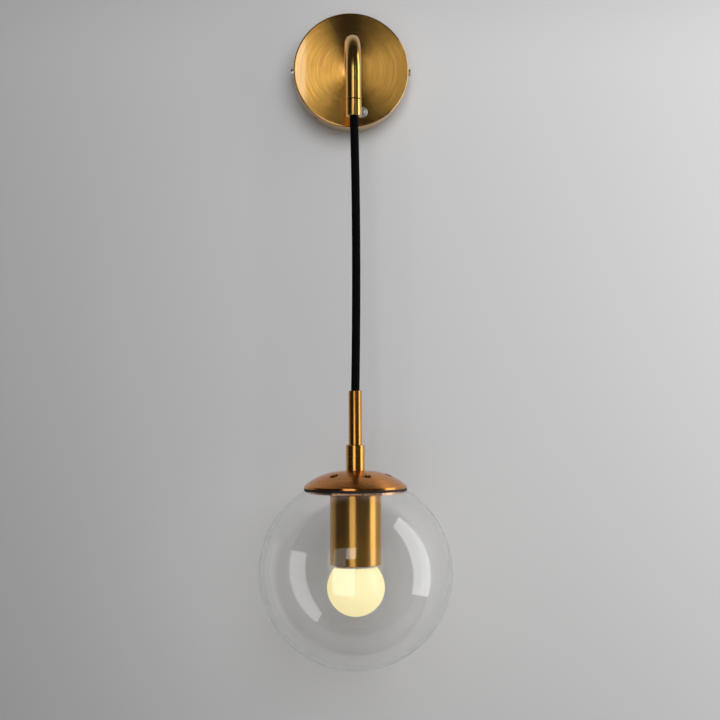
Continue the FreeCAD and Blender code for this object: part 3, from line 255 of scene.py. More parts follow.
def drill(piece: Piece, radius: float, start: Vector, end: Vector, rim: float = 0.0) -> None:
    """Cut a round hole, with a fine bevelled rim where one is asked for.

    Args:
        piece: The piece to drill.
        radius: The hole's radius.
        start: One end of the drill's path.
        end: The other end.
        rim: Width of the broken edge, or 0 for none.
    """
    clear_selection()
    run = end - start
    bpy.ops.mesh.primitive_cylinder_add(vertices=DRILL_SIDES, radius=radius, depth=run.length)
    cutter = bpy.context.object
    turn = run.to_track_quat("Z", "Y").to_matrix().to_4x4()
    cutter.matrix_world = Matrix.Translation((start + end) / 2) @ turn
    settle(cutter)
    only(piece)
    hole = piece.modifiers.new("hole", "BOOLEAN")
    hole.operation = "DIFFERENCE"
    hole.solver = "EXACT"
    hole.object = cutter
    bpy.ops.object.modifier_apply(modifier=hole.name)
    bpy.data.objects.remove(cutter)
    if rim > 0:
        bevel_hole(piece, radius, start, run.normalized(), rim)


def bevel_hole(piece: Piece, radius: float, point: Vector, direction: Vector, rim: float) -> None:
    """Bevel the edges where a hole meets the skin.

    Args:
        piece: The drilled piece.
        radius: The hole's radius.
        point: A point of the hole's axis.
        direction: The hole's axis, of length 1.
        rim: Width of the bevel.
    """
    mesh = bmesh.new()
    mesh.from_mesh(piece.data)
    rims = []
    for edge in mesh.edges:
        if len(edge.link_faces) != 2:
            continue
        spokes = [vertex.co - point for vertex in edge.verts]
        across = [(spoke - direction * spoke.dot(direction)).length for spoke in spokes]
        if any(abs(distance - radius) >= ON_HOLE for distance in across):
            continue
        leans = [abs(face.normal.dot(direction)) for face in edge.link_faces]
        if min(leans) < HOLE_LEAN < max(leans):
            rims.append(edge)
    bmesh.ops.bevel(mesh, geom=rims, offset=rim, segments=2, affect="EDGES", clamp_overlap=True)
    mesh.to_mesh(piece.data)
    mesh.free()


def add_ring(
    mesh: BMesh, centre: Vector, across: Vector, other: Vector, radii: list[float]
) -> list[BMVert]:
    """Add a ring of points round a centre.

    Args:
        mesh: The mesh to add to.
        centre: The ring's centre.
        across: The way to the first point, of length 1.
        other: The way to the point a quarter of a turn on.
        radii: The radius of each point, in turn.

    Returns:
        The new points, in turn.
    """
    ring = []
    for j, radius in enumerate(radii):
        angle = math.tau * j / len(radii)
        spoke = across * math.cos(angle) + other * math.sin(angle)
        ring.append(mesh.verts.new(centre + spoke * radius))
    return ring


def bridge(mesh: BMesh, lower: list[BMVert], upper: list[BMVert]) -> list[BMFace]:
    """Join two rings of as many points with a band of faces.

    Args:
        mesh: The mesh of both rings.
        lower: The first ring.
        upper: The second ring.

    Returns:
        The new faces, in turn.
    """
    faces = []
    for j in range(len(lower)):
        k = (j + 1) % len(lower)
        faces.append(mesh.faces.new((lower[j], lower[k], upper[k], upper[j])))
    return faces


# ------------------------------------------------------------------ finishes
class Nodes:
    """A material's node tree with short ways to add to it."""

    def __init__(self, name: str) -> None:
        """Make the material with a Principled shader on its output.

        Args:
            name: The material's name.
        """
        self.material = bpy.data.materials.new(name)
        self.material.use_nodes = True
        self.tree = self.material.node_tree
        self.tree.nodes.clear()
        self.output = self.add("ShaderNodeOutputMaterial")
        self.shader = self.add("ShaderNodeBsdfPrincipled")
        self.join(self.shader, "BSDF", self.output, "Surface")

    def set(self, node: Node, **settings: object) -> None:
        """Set a node's properties and inputs.

        Args:
            node: The node.
            settings: Properties by name, and inputs by name with spaces as underscores.
        """
        for key, value in settings.items():
            if hasattr(node, key):
                setattr(node, key, value)
            else:
                node.inputs[key.replace("_", " ")].default_value = value

    def add(self, kind: str, **settings: object) -> Node:
        """Add a node.

        Args:
            kind: The node's type.
            settings: Its settings, as `set` takes them.

        Returns:
            The new node.
        """
        node = self.tree.nodes.new(kind)
        self.set(node, **settings)
        return node

    def join(self, source: Node, out: str | int, target: Node, into: str | int) -> None:
        """Link two sockets, each by its name, or by its number where several have one name."""
        self.tree.links.new(source.outputs[out], target.inputs[into])

    def ramp(self, stops: Stops) -> Node:
        """Add a colour ramp.

        Args:
            stops: The ramp's places and colours.

        Returns:
            The ramp node.
        """
        node = self.add("ShaderNodeValToRGB")
        while len(node.color_ramp.elements) < len(stops):
            node.color_ramp.elements.new(0.5)
        for element, (place, colour) in zip(node.color_ramp.elements, stops):
            element.position = place
            element.color = (*colour, 1.0)
        return node

    def map_range(
        self,
        source: Node,
        out: str,
        ends: tuple[float, float],
        results: tuple[float, float],
        easing: str = "LINEAR",
    ) -> Node:
        """Map a value from one range to another.

        Args:
            source: Where the value comes from.
            out: The source's socket.
            ends: The value's two ends.
            results: What they become.
            easing: How it goes from end to end.

        Returns:
            The Map Range node.
        """
        node = self.add(
            "ShaderNodeMapRange",
            interpolation_type=easing,
            From_Min=ends[0],
            From_Max=ends[1],
            To_Min=results[0],
            To_Max=results[1],
        )
        self.join(source, out, node, "Value")
        return node

    def noise(self, scale: float, detail: float, roughness: float = 0.5) -> Node:
        """Add noise in the object's own coordinates.

        Args:
            scale: Features per metre, about.
            detail: How many finer layers are added.
            roughness: How strong the finer layers are.

        Returns:
            The noise node.
        """
        place = self.add("ShaderNodeTexCoord")
        node = self.add("ShaderNodeTexNoise", Scale=scale, Detail=detail, Roughness=roughness)
        self.join(place, "Object", node, "Vector")
        return node

    def colour(self, source: Node, out: str | int, stops: Stops, into: str = "Base Color") -> None:
        """Colour the shader along a ramp.

        Args:
            source: Where the place on the ramp comes from.
            out: The source's socket.
            stops: The ramp's places and colours.
            into: The shader's socket.
        """
        ramp = self.ramp(stops)
        self.join(source, out, ramp, "Fac")
        self.join(ramp, "Color", self.shader, into)

    def uneven_gloss(self, noise: Node, low: float, high: float) -> None:
        """Let noise vary the shader's roughness between two values."""
        rough = self.map_range(noise, "Fac", (0.0, 1.0), (low, high))
        self.join(rough, "Result", self.shader, "Roughness")

    def bump(self, noise: Node, strength: float, distance: float) -> None:
        """Put a noise's relief on the shader's normal.

        Args:
            noise: Gives the relief's height.
            strength: How much of the relief shows, up to 1.
            distance: The relief's depth in metres.
        """
        node = self.add("ShaderNodeBump", Strength=strength, Distance=distance)
        self.join(noise, "Fac", node, "Height")
        self.join(node, "Normal", self.shader, "Normal")

    def clear_where(self, source: Node, out: str, tint: Colour = (1.0, 1.0, 1.0)) -> None:
        """Let light straight through where a value is 1.

        Args:
            source: Where the value comes from.
            out: The source's socket.
            tint: How much of the light goes through.
        """
        through = self.add("ShaderNodeBsdfTransparent", Color=(*tint, 1.0))
        mix = self.add("ShaderNodeMixShader")
        self.join(source, out, mix, "Fac")
        self.join(self.shader, "BSDF", mix, 1)
        self.join(through, "BSDF", mix, 2)
        self.join(mix, "Shader", self.output, "Surface")


@dataclass(frozen=True)
class TurnedBrass:
    """Lacquered brass with the fine marks of turning or brushing round its axis."""

    name: str
    dark: Colour
    light: Colour
    roughness: float = 0.30
    anisotropic: float = 0.75
    coat: float = 0.5
    coat_ior: float = 1.5
    relief: float = 0.0005 * MM  # depth of the marks
    marks: float = 5200.0  # tool marks per metre of the outline
    clouding: float = 0.5  # share of soft clouds in the tone; the marks give the rest
    breaks: float = 5.0  # how often the marks change in one turn
    unevenness: float = 0.2  # how far the roughness goes to each side of its value

    def make(self) -> Material:
        """Build the material.

        Returns:
            The new material.
        """
        nodes = Nodes(self.name)
        uv = nodes.add("ShaderNodeUVMap", uv_map=TURNING)
        stretch = nodes.add("ShaderNodeMapping", Scale=(self.breaks, self.marks, 1.0))
        nodes.join(uv, "UV", stretch, "Vector")
        lines = nodes.add("ShaderNodeTexNoise", Scale=1.0, Detail=3.0, Roughness=0.62)
        nodes.join(stretch, "Vector", lines, "Vector")
        clouds = nodes.noise(scale=42.0, detail=4.0, roughness=0.55)
        tone = nodes.add("ShaderNodeMix", data_type="FLOAT")
        tone.inputs[0].default_value = self.clouding
        nodes.join(lines, "Fac", tone, 2)
        nodes.join(clouds, "Fac", tone, 3)
        nodes.colour(tone, 0, [(0.34, self.dark), (0.66, self.light)])
        swing = self.roughness * self.unevenness
        nodes.uneven_gloss(lines, self.roughness - swing, self.roughness + swing)
        nodes.bump(lines, strength=1.0, distance=self.relief)
        tangent = nodes.add("ShaderNodeTangent", direction_type="UV_MAP", uv_map=TURNING)
        nodes.join(tangent, "Tangent", nodes.shader, "Tangent")
        nodes.set(
            nodes.shader,
            Metallic=1.0,
            Anisotropic=self.anisotropic,
            Anisotropic_Rotation=0.25,
            Coat_Weight=self.coat,
            Coat_Roughness=0.03,
            Coat_IOR=self.coat_ior,
        )
        return nodes.material


class Grain(Enum):
    """Surface relief of a plain finish, in grains per metre."""

    FINE = 900.0
    MEDIUM = 320.0


@dataclass(frozen=True)
class PlainFinish:
    """Plated, moulded or rubber surface with slight mottling, uneven gloss and fine relief."""

    name: str
    colour: Colour
    roughness: float
    metallic: float = 0.0
    grain: Grain = Grain.FINE
    relief: float = 0.08
    spread: float = 0.12  # how far the mottling goes to each side of the colour
    unevenness: float = 0.15  # how far the roughness goes to each side of its value

    def make(self) -> Material:
        """Build the material.

        Returns:
            The new material.
        """
        nodes = Nodes(self.name)
        mottle = nodes.noise(scale=130.0, detail=4.0, roughness=0.6)
        dark = tuple(c * (1 - self.spread) for c in self.colour)
        light = tuple(min(1.0, c * (1 + self.spread)) for c in self.colour)
        nodes.colour(mottle, "Fac", [(0.3, dark), (0.7, light)])
        swing = self.roughness * self.unevenness
        nodes.uneven_gloss(mottle, self.roughness - swing, self.roughness + swing)
        grain = nodes.noise(scale=self.grain.value, detail=3.0)
        nodes.bump(grain, strength=self.relief, distance=0.2 * MM)
        nodes.set(nodes.shader, Metallic=self.metallic)
        return nodes.material


@dataclass(frozen=True)
class WovenSleeve:
    """Black textile sleeve: matt yarn with a soft sheen."""

    name: str = "woven_sleeve"
    dark: Colour = (0.0015, 0.0015, 0.0016)
    light: Colour = (0.0040, 0.0040, 0.0044)

    def make(self) -> Material:
        """Build the material.

        Returns:
            The new material.
        """
        nodes = Nodes(self.name)
        yarn = nodes.noise(scale=2200.0, detail=4.0, roughness=0.7)
        nodes.colour(yarn, "Fac", [(0.3, self.dark), (0.7, self.light)])
        nodes.uneven_gloss(yarn, low=0.62, high=0.85)
        nodes.bump(yarn, strength=0.35, distance=0.2 * MM)
        nodes.set(nodes.shader, Sheen_Weight=0.005, Sheen_Roughness=0.5, Specular_IOR_Level=0.03)
        return nodes.material


@dataclass(frozen=True)
class ClearGlass:
    """Clear blown glass with faint waviness, which lets lamp light through to what it holds."""

    name: str = "clear_globe_glass"
    tint: Colour = (0.995, 0.995, 0.994)
    shadow: Colour = (0.998, 0.998, 0.998)  # what one surface lets through of a lamp's light
    ior: float = 1.5

    def make(self) -> Material:
        """Build the material.

        Returns:
            The new material.
        """
        nodes = Nodes(self.name)
        nodes.set(
            nodes.shader,
            Base_Color=(*self.tint, 1.0),
            Roughness=0.0,
            IOR=self.ior,
            Transmission_Weight=1.0,
        )
        waves = nodes.noise(scale=9.0, detail=1.0)
        nodes.bump(waves, strength=0.02, distance=2.0 * MM)
        nodes.clear_where(nodes.add("ShaderNodeLightPath"), "Is Shadow Ray", self.shadow)
        return nodes.material


@dataclass(frozen=True)
class OpalGlow:
    """Opal diffuser lit from inside, brightest where it faces straight out."""

    name: str = "opal_diffuser"
    plastic: Colour = (0.22, 0.20, 0.15)
    core: Colour = (0.97, 0.86, 0.44)
    rim: Colour = (0.93, 0.78, 0.36)
    strength: float = 0.90

    def make(self) -> Material:
        """Build the material.

        Returns:
            The new material.
        """
        nodes = Nodes(self.name)
        facing = nodes.add("ShaderNodeLayerWeight", Blend=0.35)
        nodes.colour(facing, "Facing", [(0.0, self.core), (0.9, self.rim)], "Emission Color")
        nodes.uneven_gloss(nodes.noise(scale=60.0, detail=2.0), low=0.30, high=0.42)
        nodes.set(nodes.shader, Base_Color=(*self.plastic, 1.0), Emission_Strength=self.strength)
        return nodes.material


class Finish(Enum):
    """Every finish of the sconce."""

    CANOPY = TurnedBrass(
        name="canopy_brass",
        dark=(0.62, 0.31, 0.06),
        light=(0.90, 0.52, 0.12),
        roughness=0.17,
        anisotropic=1.0,
        coat=1.0,
        coat_ior=1.7,
        relief=0.010 * MM,
        marks=900.0,
        clouding=0.15,
    )
    ARM = TurnedBrass("arm_brass", (0.72, 0.40, 0.09), (0.84, 0.50, 0.13), 0.22, 0.5, 0.3)
    STEM = TurnedBrass("stem_brass", (0.58, 0.25, 0.045), (0.68, 0.31, 0.06), 0.26, 0.6, 0.1)
    DROP = TurnedBrass("drop_brass", (0.66, 0.31, 0.06), (0.76, 0.38, 0.085), 0.27, 0.6, 0.15)
    CAP = TurnedBrass("cap_brass", (0.60, 0.22, 0.045), (0.72, 0.30, 0.07), 0.27, 0.95, 0.15)
    CUP = TurnedBrass("cup_brass", (0.56, 0.30, 0.065), (0.64, 0.35, 0.085), 0.32, 0.9, 0.15)
    # near-black brass on the ferrule's spigot: painted shade in the seam between the tube and the
    # ferrule
    THREAD = PlainFinish("painted_seam_shade", (0.030, 0.018, 0.008), 0.6, 1.0)
    NICKEL = PlainFinish("satin_nickel", (0.90, 0.89, 0.88), 0.36, 1.0)
    ZINC = PlainFinish("zinc_steel", (0.60, 0.61, 0.62), 0.34, 1.0, Grain.MEDIUM, 0.15, 0.2)
    COPPER = PlainFinish("contact_copper", (0.80, 0.46, 0.26), 0.28, 1.0)
    BLACK = PlainFinish("black_phenolic", (0.012, 0.012, 0.013), 0.42, 0.0, Grain.MEDIUM, 0.12)
    WHITE = PlainFinish("white_housing", (0.78, 0.78, 0.76), 0.38)
    NYLON = PlainFinish("natural_nylon", (0.72, 0.70, 0.62), 0.40)
    BLUE = PlainFinish("blue_insulation", (0.02, 0.10, 0.42), 0.38)
    BROWN = PlainFinish("brown_insulation", (0.13, 0.045, 0.018), 0.38)
    EARTH = PlainFinish("earth_insulation", (0.12, 0.36, 0.05), 0.38)
    RUBBER = PlainFinish("black_rubber", (0.010, 0.010, 0.010), 0.65, 0.0, Grain.FINE, 0.2)
    ALUMINIUM = PlainFinish("board_aluminium", (0.80, 0.80, 0.79), 0.30, 1.0)
    SOLDER_MASK = PlainFinish("board_green", (0.02, 0.14, 0.05), 0.35)
    SLEEVE = WovenSleeve()
    GLASS = ClearGlass()
    OPAL = OpalGlow()


class Workshop:
    """Makes each finish once, and dresses pieces and CAD nodes with them."""

    def __init__(self, frame: dict) -> None:
        """Keep the loaded frame."""
        self.frame = frame
        self.made: dict[Finish, Material] = {}

    def material(self, finish: Finish) -> Material:
        """The finish's material, made at its first use."""
        if finish not in self.made:
            self.made[finish] = finish.value.make()
        return self.made[finish]

    def fit(self, piece: Piece, finish: Finish, body: str, slot: str, node: str) -> Piece:
        """Finish a new piece, put it on its body and let it stand for a CAD node.

        Args:
            piece: The new piece.
            finish: Its finish.
            body: The body it moves with.
            slot: The record's material slot; not used.
            node: The CAD node that it replaces.

        Returns:
            The piece.
        """
        piece.data.materials.clear()
        piece.data.materials.append(self.material(finish))
        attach(piece, body)
        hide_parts(node)
        LOG.info("%s: %d faces, on %s", piece.name, len(piece.data.polygons), body)
        return piece

    def dress_nodes(self, finishes: dict[Finish, list[str]]) -> None:
        """Give CAD nodes that stay in view their finishes.

        Args:
            finishes: Node names by finish.
        """
        for finish, names in finishes.items():
            for name in names:
                for slot in self.frame["nodes"][name].material_slots:
                    slot.material = self.material(finish)


@dataclass
class Part:
    """Part of the sconce that is modelled here and fitted in the workshop."""

    shop: Workshop


# ------------------------------------------------------------------ studio
@dataclass(frozen=True)
class Panel:
    """Soft rectangular light that faces along one of the row frame's level axes."""

    name: str
    low: Place  # one corner
    high: Place  # the corner across from it
    towards: Vector
    glow: float  # its radiance, where white paper in full light is about 1
    mirrored: bool = True  # whether metal and glass show it

    def hang(self) -> None:
        """Put the light in its place."""
        low, high = Vector(self.low), Vector(self.high)
        clear_selection()
        bpy.ops.object.light_add(type="AREA", location=(low + high) / 2)
        light = bpy.context.object
        light.name = self.name
        light.data.shape = "RECTANGLE"
        span = high - low
        wide, tall = abs(span.x + span.y), abs(span.z)  # one of x and y is 0
        light.data.size, light.data.size_y = wide, tall
        light.data.energy = math.pi * self.glow * wide * tall
        light.rotation_euler = self.towards.to_track_quat("-Z", "Y").to_euler()
        light.visible_glossy = self.mirrored
        light.visible_transmission = self.mirrored


PANELS = (
    Panel("strip", (-0.36, -1.55, 0.17), (-0.040, -1.55, 0.59), -ROOM, 2.5),
    Panel("low_left", (-0.80, -1.55, -0.95), (-0.09, -1.55, -0.12), -ROOM, 2.0),
    Panel("left", (-0.85, -1.55, -0.05), (-0.36, -1.55, 0.62), -ROOM, 0.9),
    Panel("right", (0.34, -1.55, -0.05), (1.3, -1.55, 0.60), -ROOM, 0.2),
    Panel("right_panel", (1.1, -0.55, -0.8), (1.1, -0.01, 0.98), -RIGHT, 2.5),
    Panel("fill", (-0.5, -2.2, 0.2), (1.9, -2.2, 2.0), -ROOM, 4.0, mirrored=False),
    Panel("behind", (-0.4, 1.3, -0.2), (0.4, 1.3, 0.6), ROOM, 2.5),
)
# the wall's grey with painted light and shade: near black far to the left, which darkens its
# reflections in the metal, and lighter to the right
WALL_GREY_AND_PAINTED_SHADE = (
    (0.0, (0.02, 0.02, 0.02)),
    (0.39, (0.10, 0.10, 0.10)),
    (0.42, (0.42, 0.42, 0.425)),
    (0.50, (0.59, 0.59, 0.595)),
    (0.58, (0.715, 0.715, 0.715)),
    (1.0, (0.74, 0.74, 0.74)),
)
FLOOR_TONES = ((0.0, (0.17, 0.16, 0.15)), (1.0, (0.20, 0.19, 0.18)))


@dataclass
class Studio:
    """Grey wall, dark floor, soft rectangular lights and the camera."""

    wall_gap: float = 0.0004  # keeps the paint off the canopy's rim
    wall_hole: float = 0.044  # radius of the hole that the canopy hides
    wall_spread: float = 60.0  # the wall's radius, in radii of its hole
    shade_ramp_end: float = 2.2  # the painted light and shade across the wall run from this far left of the canopy to this far right
    low_band: tuple[float, float] = (-0.75, -0.2)  # painted shade grows lighter upwards between these heights
    low_shade: float = 0.92  # how much of the tone is left below them, as painted shade
    high_band: tuple[float, float] = (0.0, 0.36)  # painted shade darkens the wall upwards between these heights, and its reflections too
    high_shade: float = 0.08  # how much is left above them, as painted shade
    floor_centre: Place = (0.0, -1.6, -0.95)
    floor_side: float = 9.0
    world_colour: Colour = (0.50, 0.50, 0.51)
    world_strength: float = 0.05
    camera_place: Place = (-0.0361, -1.1992, -0.2758)
    camera_yaw: float = 2.066
    camera_pitch: float = 1.679
    camera_roll: float = -0.26
    lens: float = 71.26
    sensor: float = 36.0

    def make_camera(self) -> None:
        """Stand the camera where the picture was taken from."""
        clear_selection()
        bpy.ops.object.camera_add(location=self.camera_place)
        camera = bpy.context.object
        turn = Matrix.Rotation(math.radians(-self.camera_yaw), 3, "Z")
        tilt = Matrix.Rotation(math.radians(90 + self.camera_pitch), 3, "X")
        roll = Matrix.Rotation(math.radians(self.camera_roll), 3, "Z")
        camera.rotation_euler = (turn @ tilt @ roll).to_euler()
        camera.data.lens = self.lens
        camera.data.sensor_width = self.sensor
        camera.data.clip_start = 0.01
        bpy.context.scene.camera = camera

    def paint(self, name: str, tones: Stops) -> Material:
        """Matt paint with painted light and shade across and with height, and see-through from behind.

        Args:
            name: The material's name.
            tones: Colours along X with painted light and shade, from the left end to the right end.

        Returns:
            The material.
        """
        nodes = Nodes(name)
        place = nodes.add("ShaderNodeTexCoord")
        split = nodes.add("ShaderNodeSeparateXYZ")
        nodes.join(place, "Object", split, "Vector")
        along = nodes.map_range(split, "X", (-self.shade_ramp_end, self.shade_ramp_end), (0.0, 1.0))
        ramp = nodes.ramp(tones)
        nodes.join(along, "Result", ramp, "Fac")
        # painted shade: darker towards the bottom, and darker again above, which also darkens the
        # wall's reflections in the metal
        low = nodes.map_range(split, "Z", self.low_band, (self.low_shade, 1.0), "SMOOTHSTEP")
        high = nodes.map_range(split, "Z", self.high_band, (1.0, self.high_shade), "SMOOTHSTEP")
        both = nodes.add("ShaderNodeMath", operation="MULTIPLY")
        nodes.join(low, "Result", both, 0)
        nodes.join(high, "Result", both, 1)
        shade = nodes.add("ShaderNodeMix", data_type="RGBA", blend_type="MULTIPLY")
        shade.inputs[0].default_value = 1.0
        nodes.join(ramp, "Color", shade, 6)
        nodes.join(both, "Value", shade, 7)
        nodes.join(shade, 2, nodes.shader, "Base Color")
        nodes.set(nodes.shader, Roughness=0.9, Specular_IOR_Level=0.1)
        nodes.clear_where(nodes.add("ShaderNodeNewGeometry"), "Backfacing")
        return nodes.material

    def make_wall(self) -> None:
        """Put up the wall, with an opening behind the canopy."""
        clear_selection()
        bpy.ops.mesh.primitive_circle_add(vertices=64, radius=self.wall_hole)
        wall = bpy.context.object
        wall.name = "stage_wall"
        bpy.ops.object.mode_set(mode="EDIT")
        bpy.ops.mesh.select_all(action="SELECT")
        bpy.ops.mesh.extrude_edges_move()
        bpy.ops.transform.resize(value=(self.wall_spread, self.wall_spread, 1.0))
        bpy.ops.object.mode_set(mode="OBJECT")
        wall.rotation_euler = (math.radians(90), 0.0, 0.0)
        wall.location = (0.0, self.wall_gap, 0.0)
        settle(wall)
        mesh = bmesh.new()
        mesh.from_mesh(wall.data)
        bmesh.ops.recalc_face_normals(mesh, faces=mesh.faces)
        if sum(face.normal.y for face in mesh.faces) > 0:
            bmesh.ops.reverse_faces(mesh, faces=mesh.faces)
        mesh.to_mesh(wall.data)
        mesh.free()
        wall.data.materials.append(self.paint("stage_wall_paint", WALL_GREY_AND_PAINTED_SHADE))

    def make_floor(self) -> None:
        """Lay the dark floor well below the globe."""
        clear_selection()
        bpy.ops.mesh.primitive_plane_add(size=self.floor_side, location=self.floor_centre)
        floor = bpy.context.object
        floor.name = "stage_floor"
        settle(floor)
        floor.data.materials.append(self.paint("stage_floor_paint", FLOOR_TONES))

    def make_lights(self) -> None:
        """Hang the panels and set the faint light from all round."""
        for panel in PANELS:
            panel.hang()
        world = bpy.data.worlds.new("studio")
        bpy.context.scene.world = world
        world.use_nodes = True
        background = world.node_tree.nodes["Background"]
        background.inputs["Color"].default_value = (*self.world_colour, 1.0)
        background.inputs["Strength"].default_value = self.world_strength

    def make(self) -> None:
        """Build everything but the camera."""
        self.make_wall()
        self.make_floor()
        self.make_lights()


# ------------------------------------------------------------------ hanging cord
def point_along(line: list[Vector], along: float) -> tuple[Vector, Vector]:
    """Find a place on a line of points.

    Args:
        line: The points.
        along: The way to go from the first one, in metres.

    Returns:
        The place and the line's direction there.
    """
    left = along
    for start, end in zip(line, line[1:]):
        run = (end - start).length
        if left <= run or end is line[-1]:
            break
        left -= run
    return start + (end - start) * min(left / run, 1.0), (end - start) / run


@dataclass
class HangingCord(Part):
    """Woven cord between the ferrule's mouth and the stem, pulled nearly straight."""

    radius: float = 3.35 * MM
    mouth: Vector = field(default_factory=lambda: Vector((0.0, -REACH, -52.2 * MM)))
    route: tuple[Place, ...] = (
        (0.0, -REACH, -0.0518),
        (0.0026, -REACH, -0.151),
        (0.0, -REACH, -0.2731),
    )
    carriers: int = 8  # yarn bundles that wind each way
    lay: float = 15.0 * MM  # length of one turn of a bundle
    relief: float = 0.22 * MM
    around: int = 64
    ring_step: float = 0.42 * MM
    end_share: float = 0.9  # radius of the cord's two ends, as a share of the cord's
    bend_share: float = 0.97  # radius of the ball that it bends about, as a share of the cord's

    def centre_line(self) -> list[Vector]:
        """Points along the cord's smooth line.

        Returns:
            Points in the row frame, from the ferrule to the stem.
        """
        curve = bpy.data.curves.new("cord_line", "CURVE")
        curve.dimensions = "3D"
        spline = curve.splines.new("NURBS")
        spline.points.add(len(self.route) - 1)
        for point, place in zip(spline.points, self.route):
            point.co = (*place, 1.0)
        spline.order_u = 3
        spline.use_endpoint_u = True
        curve.resolution_u = 64
        line = bpy.data.objects.new("cord_line", curve)
        bpy.context.scene.collection.objects.link(line)
        mesh = bpy.data.meshes.new_from_object(line)
        points = [vertex.co.copy() for vertex in mesh.vertices]
        bpy.data.objects.remove(line)
        bpy.data.meshes.remove(mesh)
        return points

    def relief_at(self, angle: float, along: float) -> float:
        """Height of the braid over the cord's core, from 0 to 1.

        Args:
            angle: Round the cord, in radians.
            along: Along the cord, in metres.

        Returns:
            The relief as a share of its greatest height.
        """
        turn = math.tau * along / self.lay
        right = self.carriers * (angle + turn) / 2
        left = self.carriers * (angle - turn) / 2
        over = 0.5 + 0.5 * math.sin(right) * math.sin(left)
        bundle_right = abs(math.cos(right)) ** 0.5
        bundle_left = abs(math.cos(left)) ** 0.5
        return max(bundle_right * (0.55 + 0.45 * over), bundle_left * (1.0 - 0.45 * over))

    def sweep(self, line: list[Vector], length: float) -> Piece:
        """Sweep the braided tube along the cord's line.

        Args:
            line: Points along the line.
            length: The line's length.

        Returns:
            The cord.
        """
        rings = int(length / self.ring_step)
        mesh = bmesh.new()
        loops = []
        for i in range(rings + 1):
            along = length * i / rings
            centre, direction = point_along(line, along)
            across = (RIGHT - direction * RIGHT.dot(direction)).normalized()
            share = self.end_share if i in (0, rings) else 1.0
            radii = []
            for j in range(self.around):
                height = self.relief * (self.relief_at(math.tau * j / self.around, along) - 1.0)
                radii.append((self.radius + height) * share)
            loops.append(add_ring(mesh, centre, across, direction.cross(across), radii))
        for lower, upper in zip(loops, loops[1:]):
            bridge(mesh, lower, upper)
        mesh.faces.new(loops[0][::-1])
        mesh.faces.new(loops[-1])
        bmesh.ops.recalc_face_normals(mesh, faces=mesh.faces)
        data = bpy.data.meshes.new("woven_cord")
        mesh.to_mesh(data)
        mesh.free()
        cord = bpy.data.objects.new("woven_cord", data)
        bpy.context.scene.collection.objects.link(cord)
        smooth(cord, BALL_ANGLE)
        return cord

    def build_bend(self) -> Piece:
        """Woven ball in the ferrule's mouth, about which the cord bends.

        Returns:
            The piece.
        """
        outline = Outline(0.0, self.mouth.z - self.radius * self.bend_share)
        outline.arc((0.0, self.mouth.z), 180.0, 24)
        bend = turned("cord_bend_core", outline, Axis.DROP, steps=48)
        return self.shop.fit(bend, Finish.SLEEVE, "cord_bend", "cord_fabric", "cord_bend")

    def build(self) -> None:
        line = self.centre_line()
        length = sum((b - a).length for a, b in zip(line, line[1:]))
        cord = self.sweep(line, length)
        self.shop.fit(cord, Finish.SLEEVE, "cord", "cord_fabric", "pendant_cord")
        bend = self.build_bend()


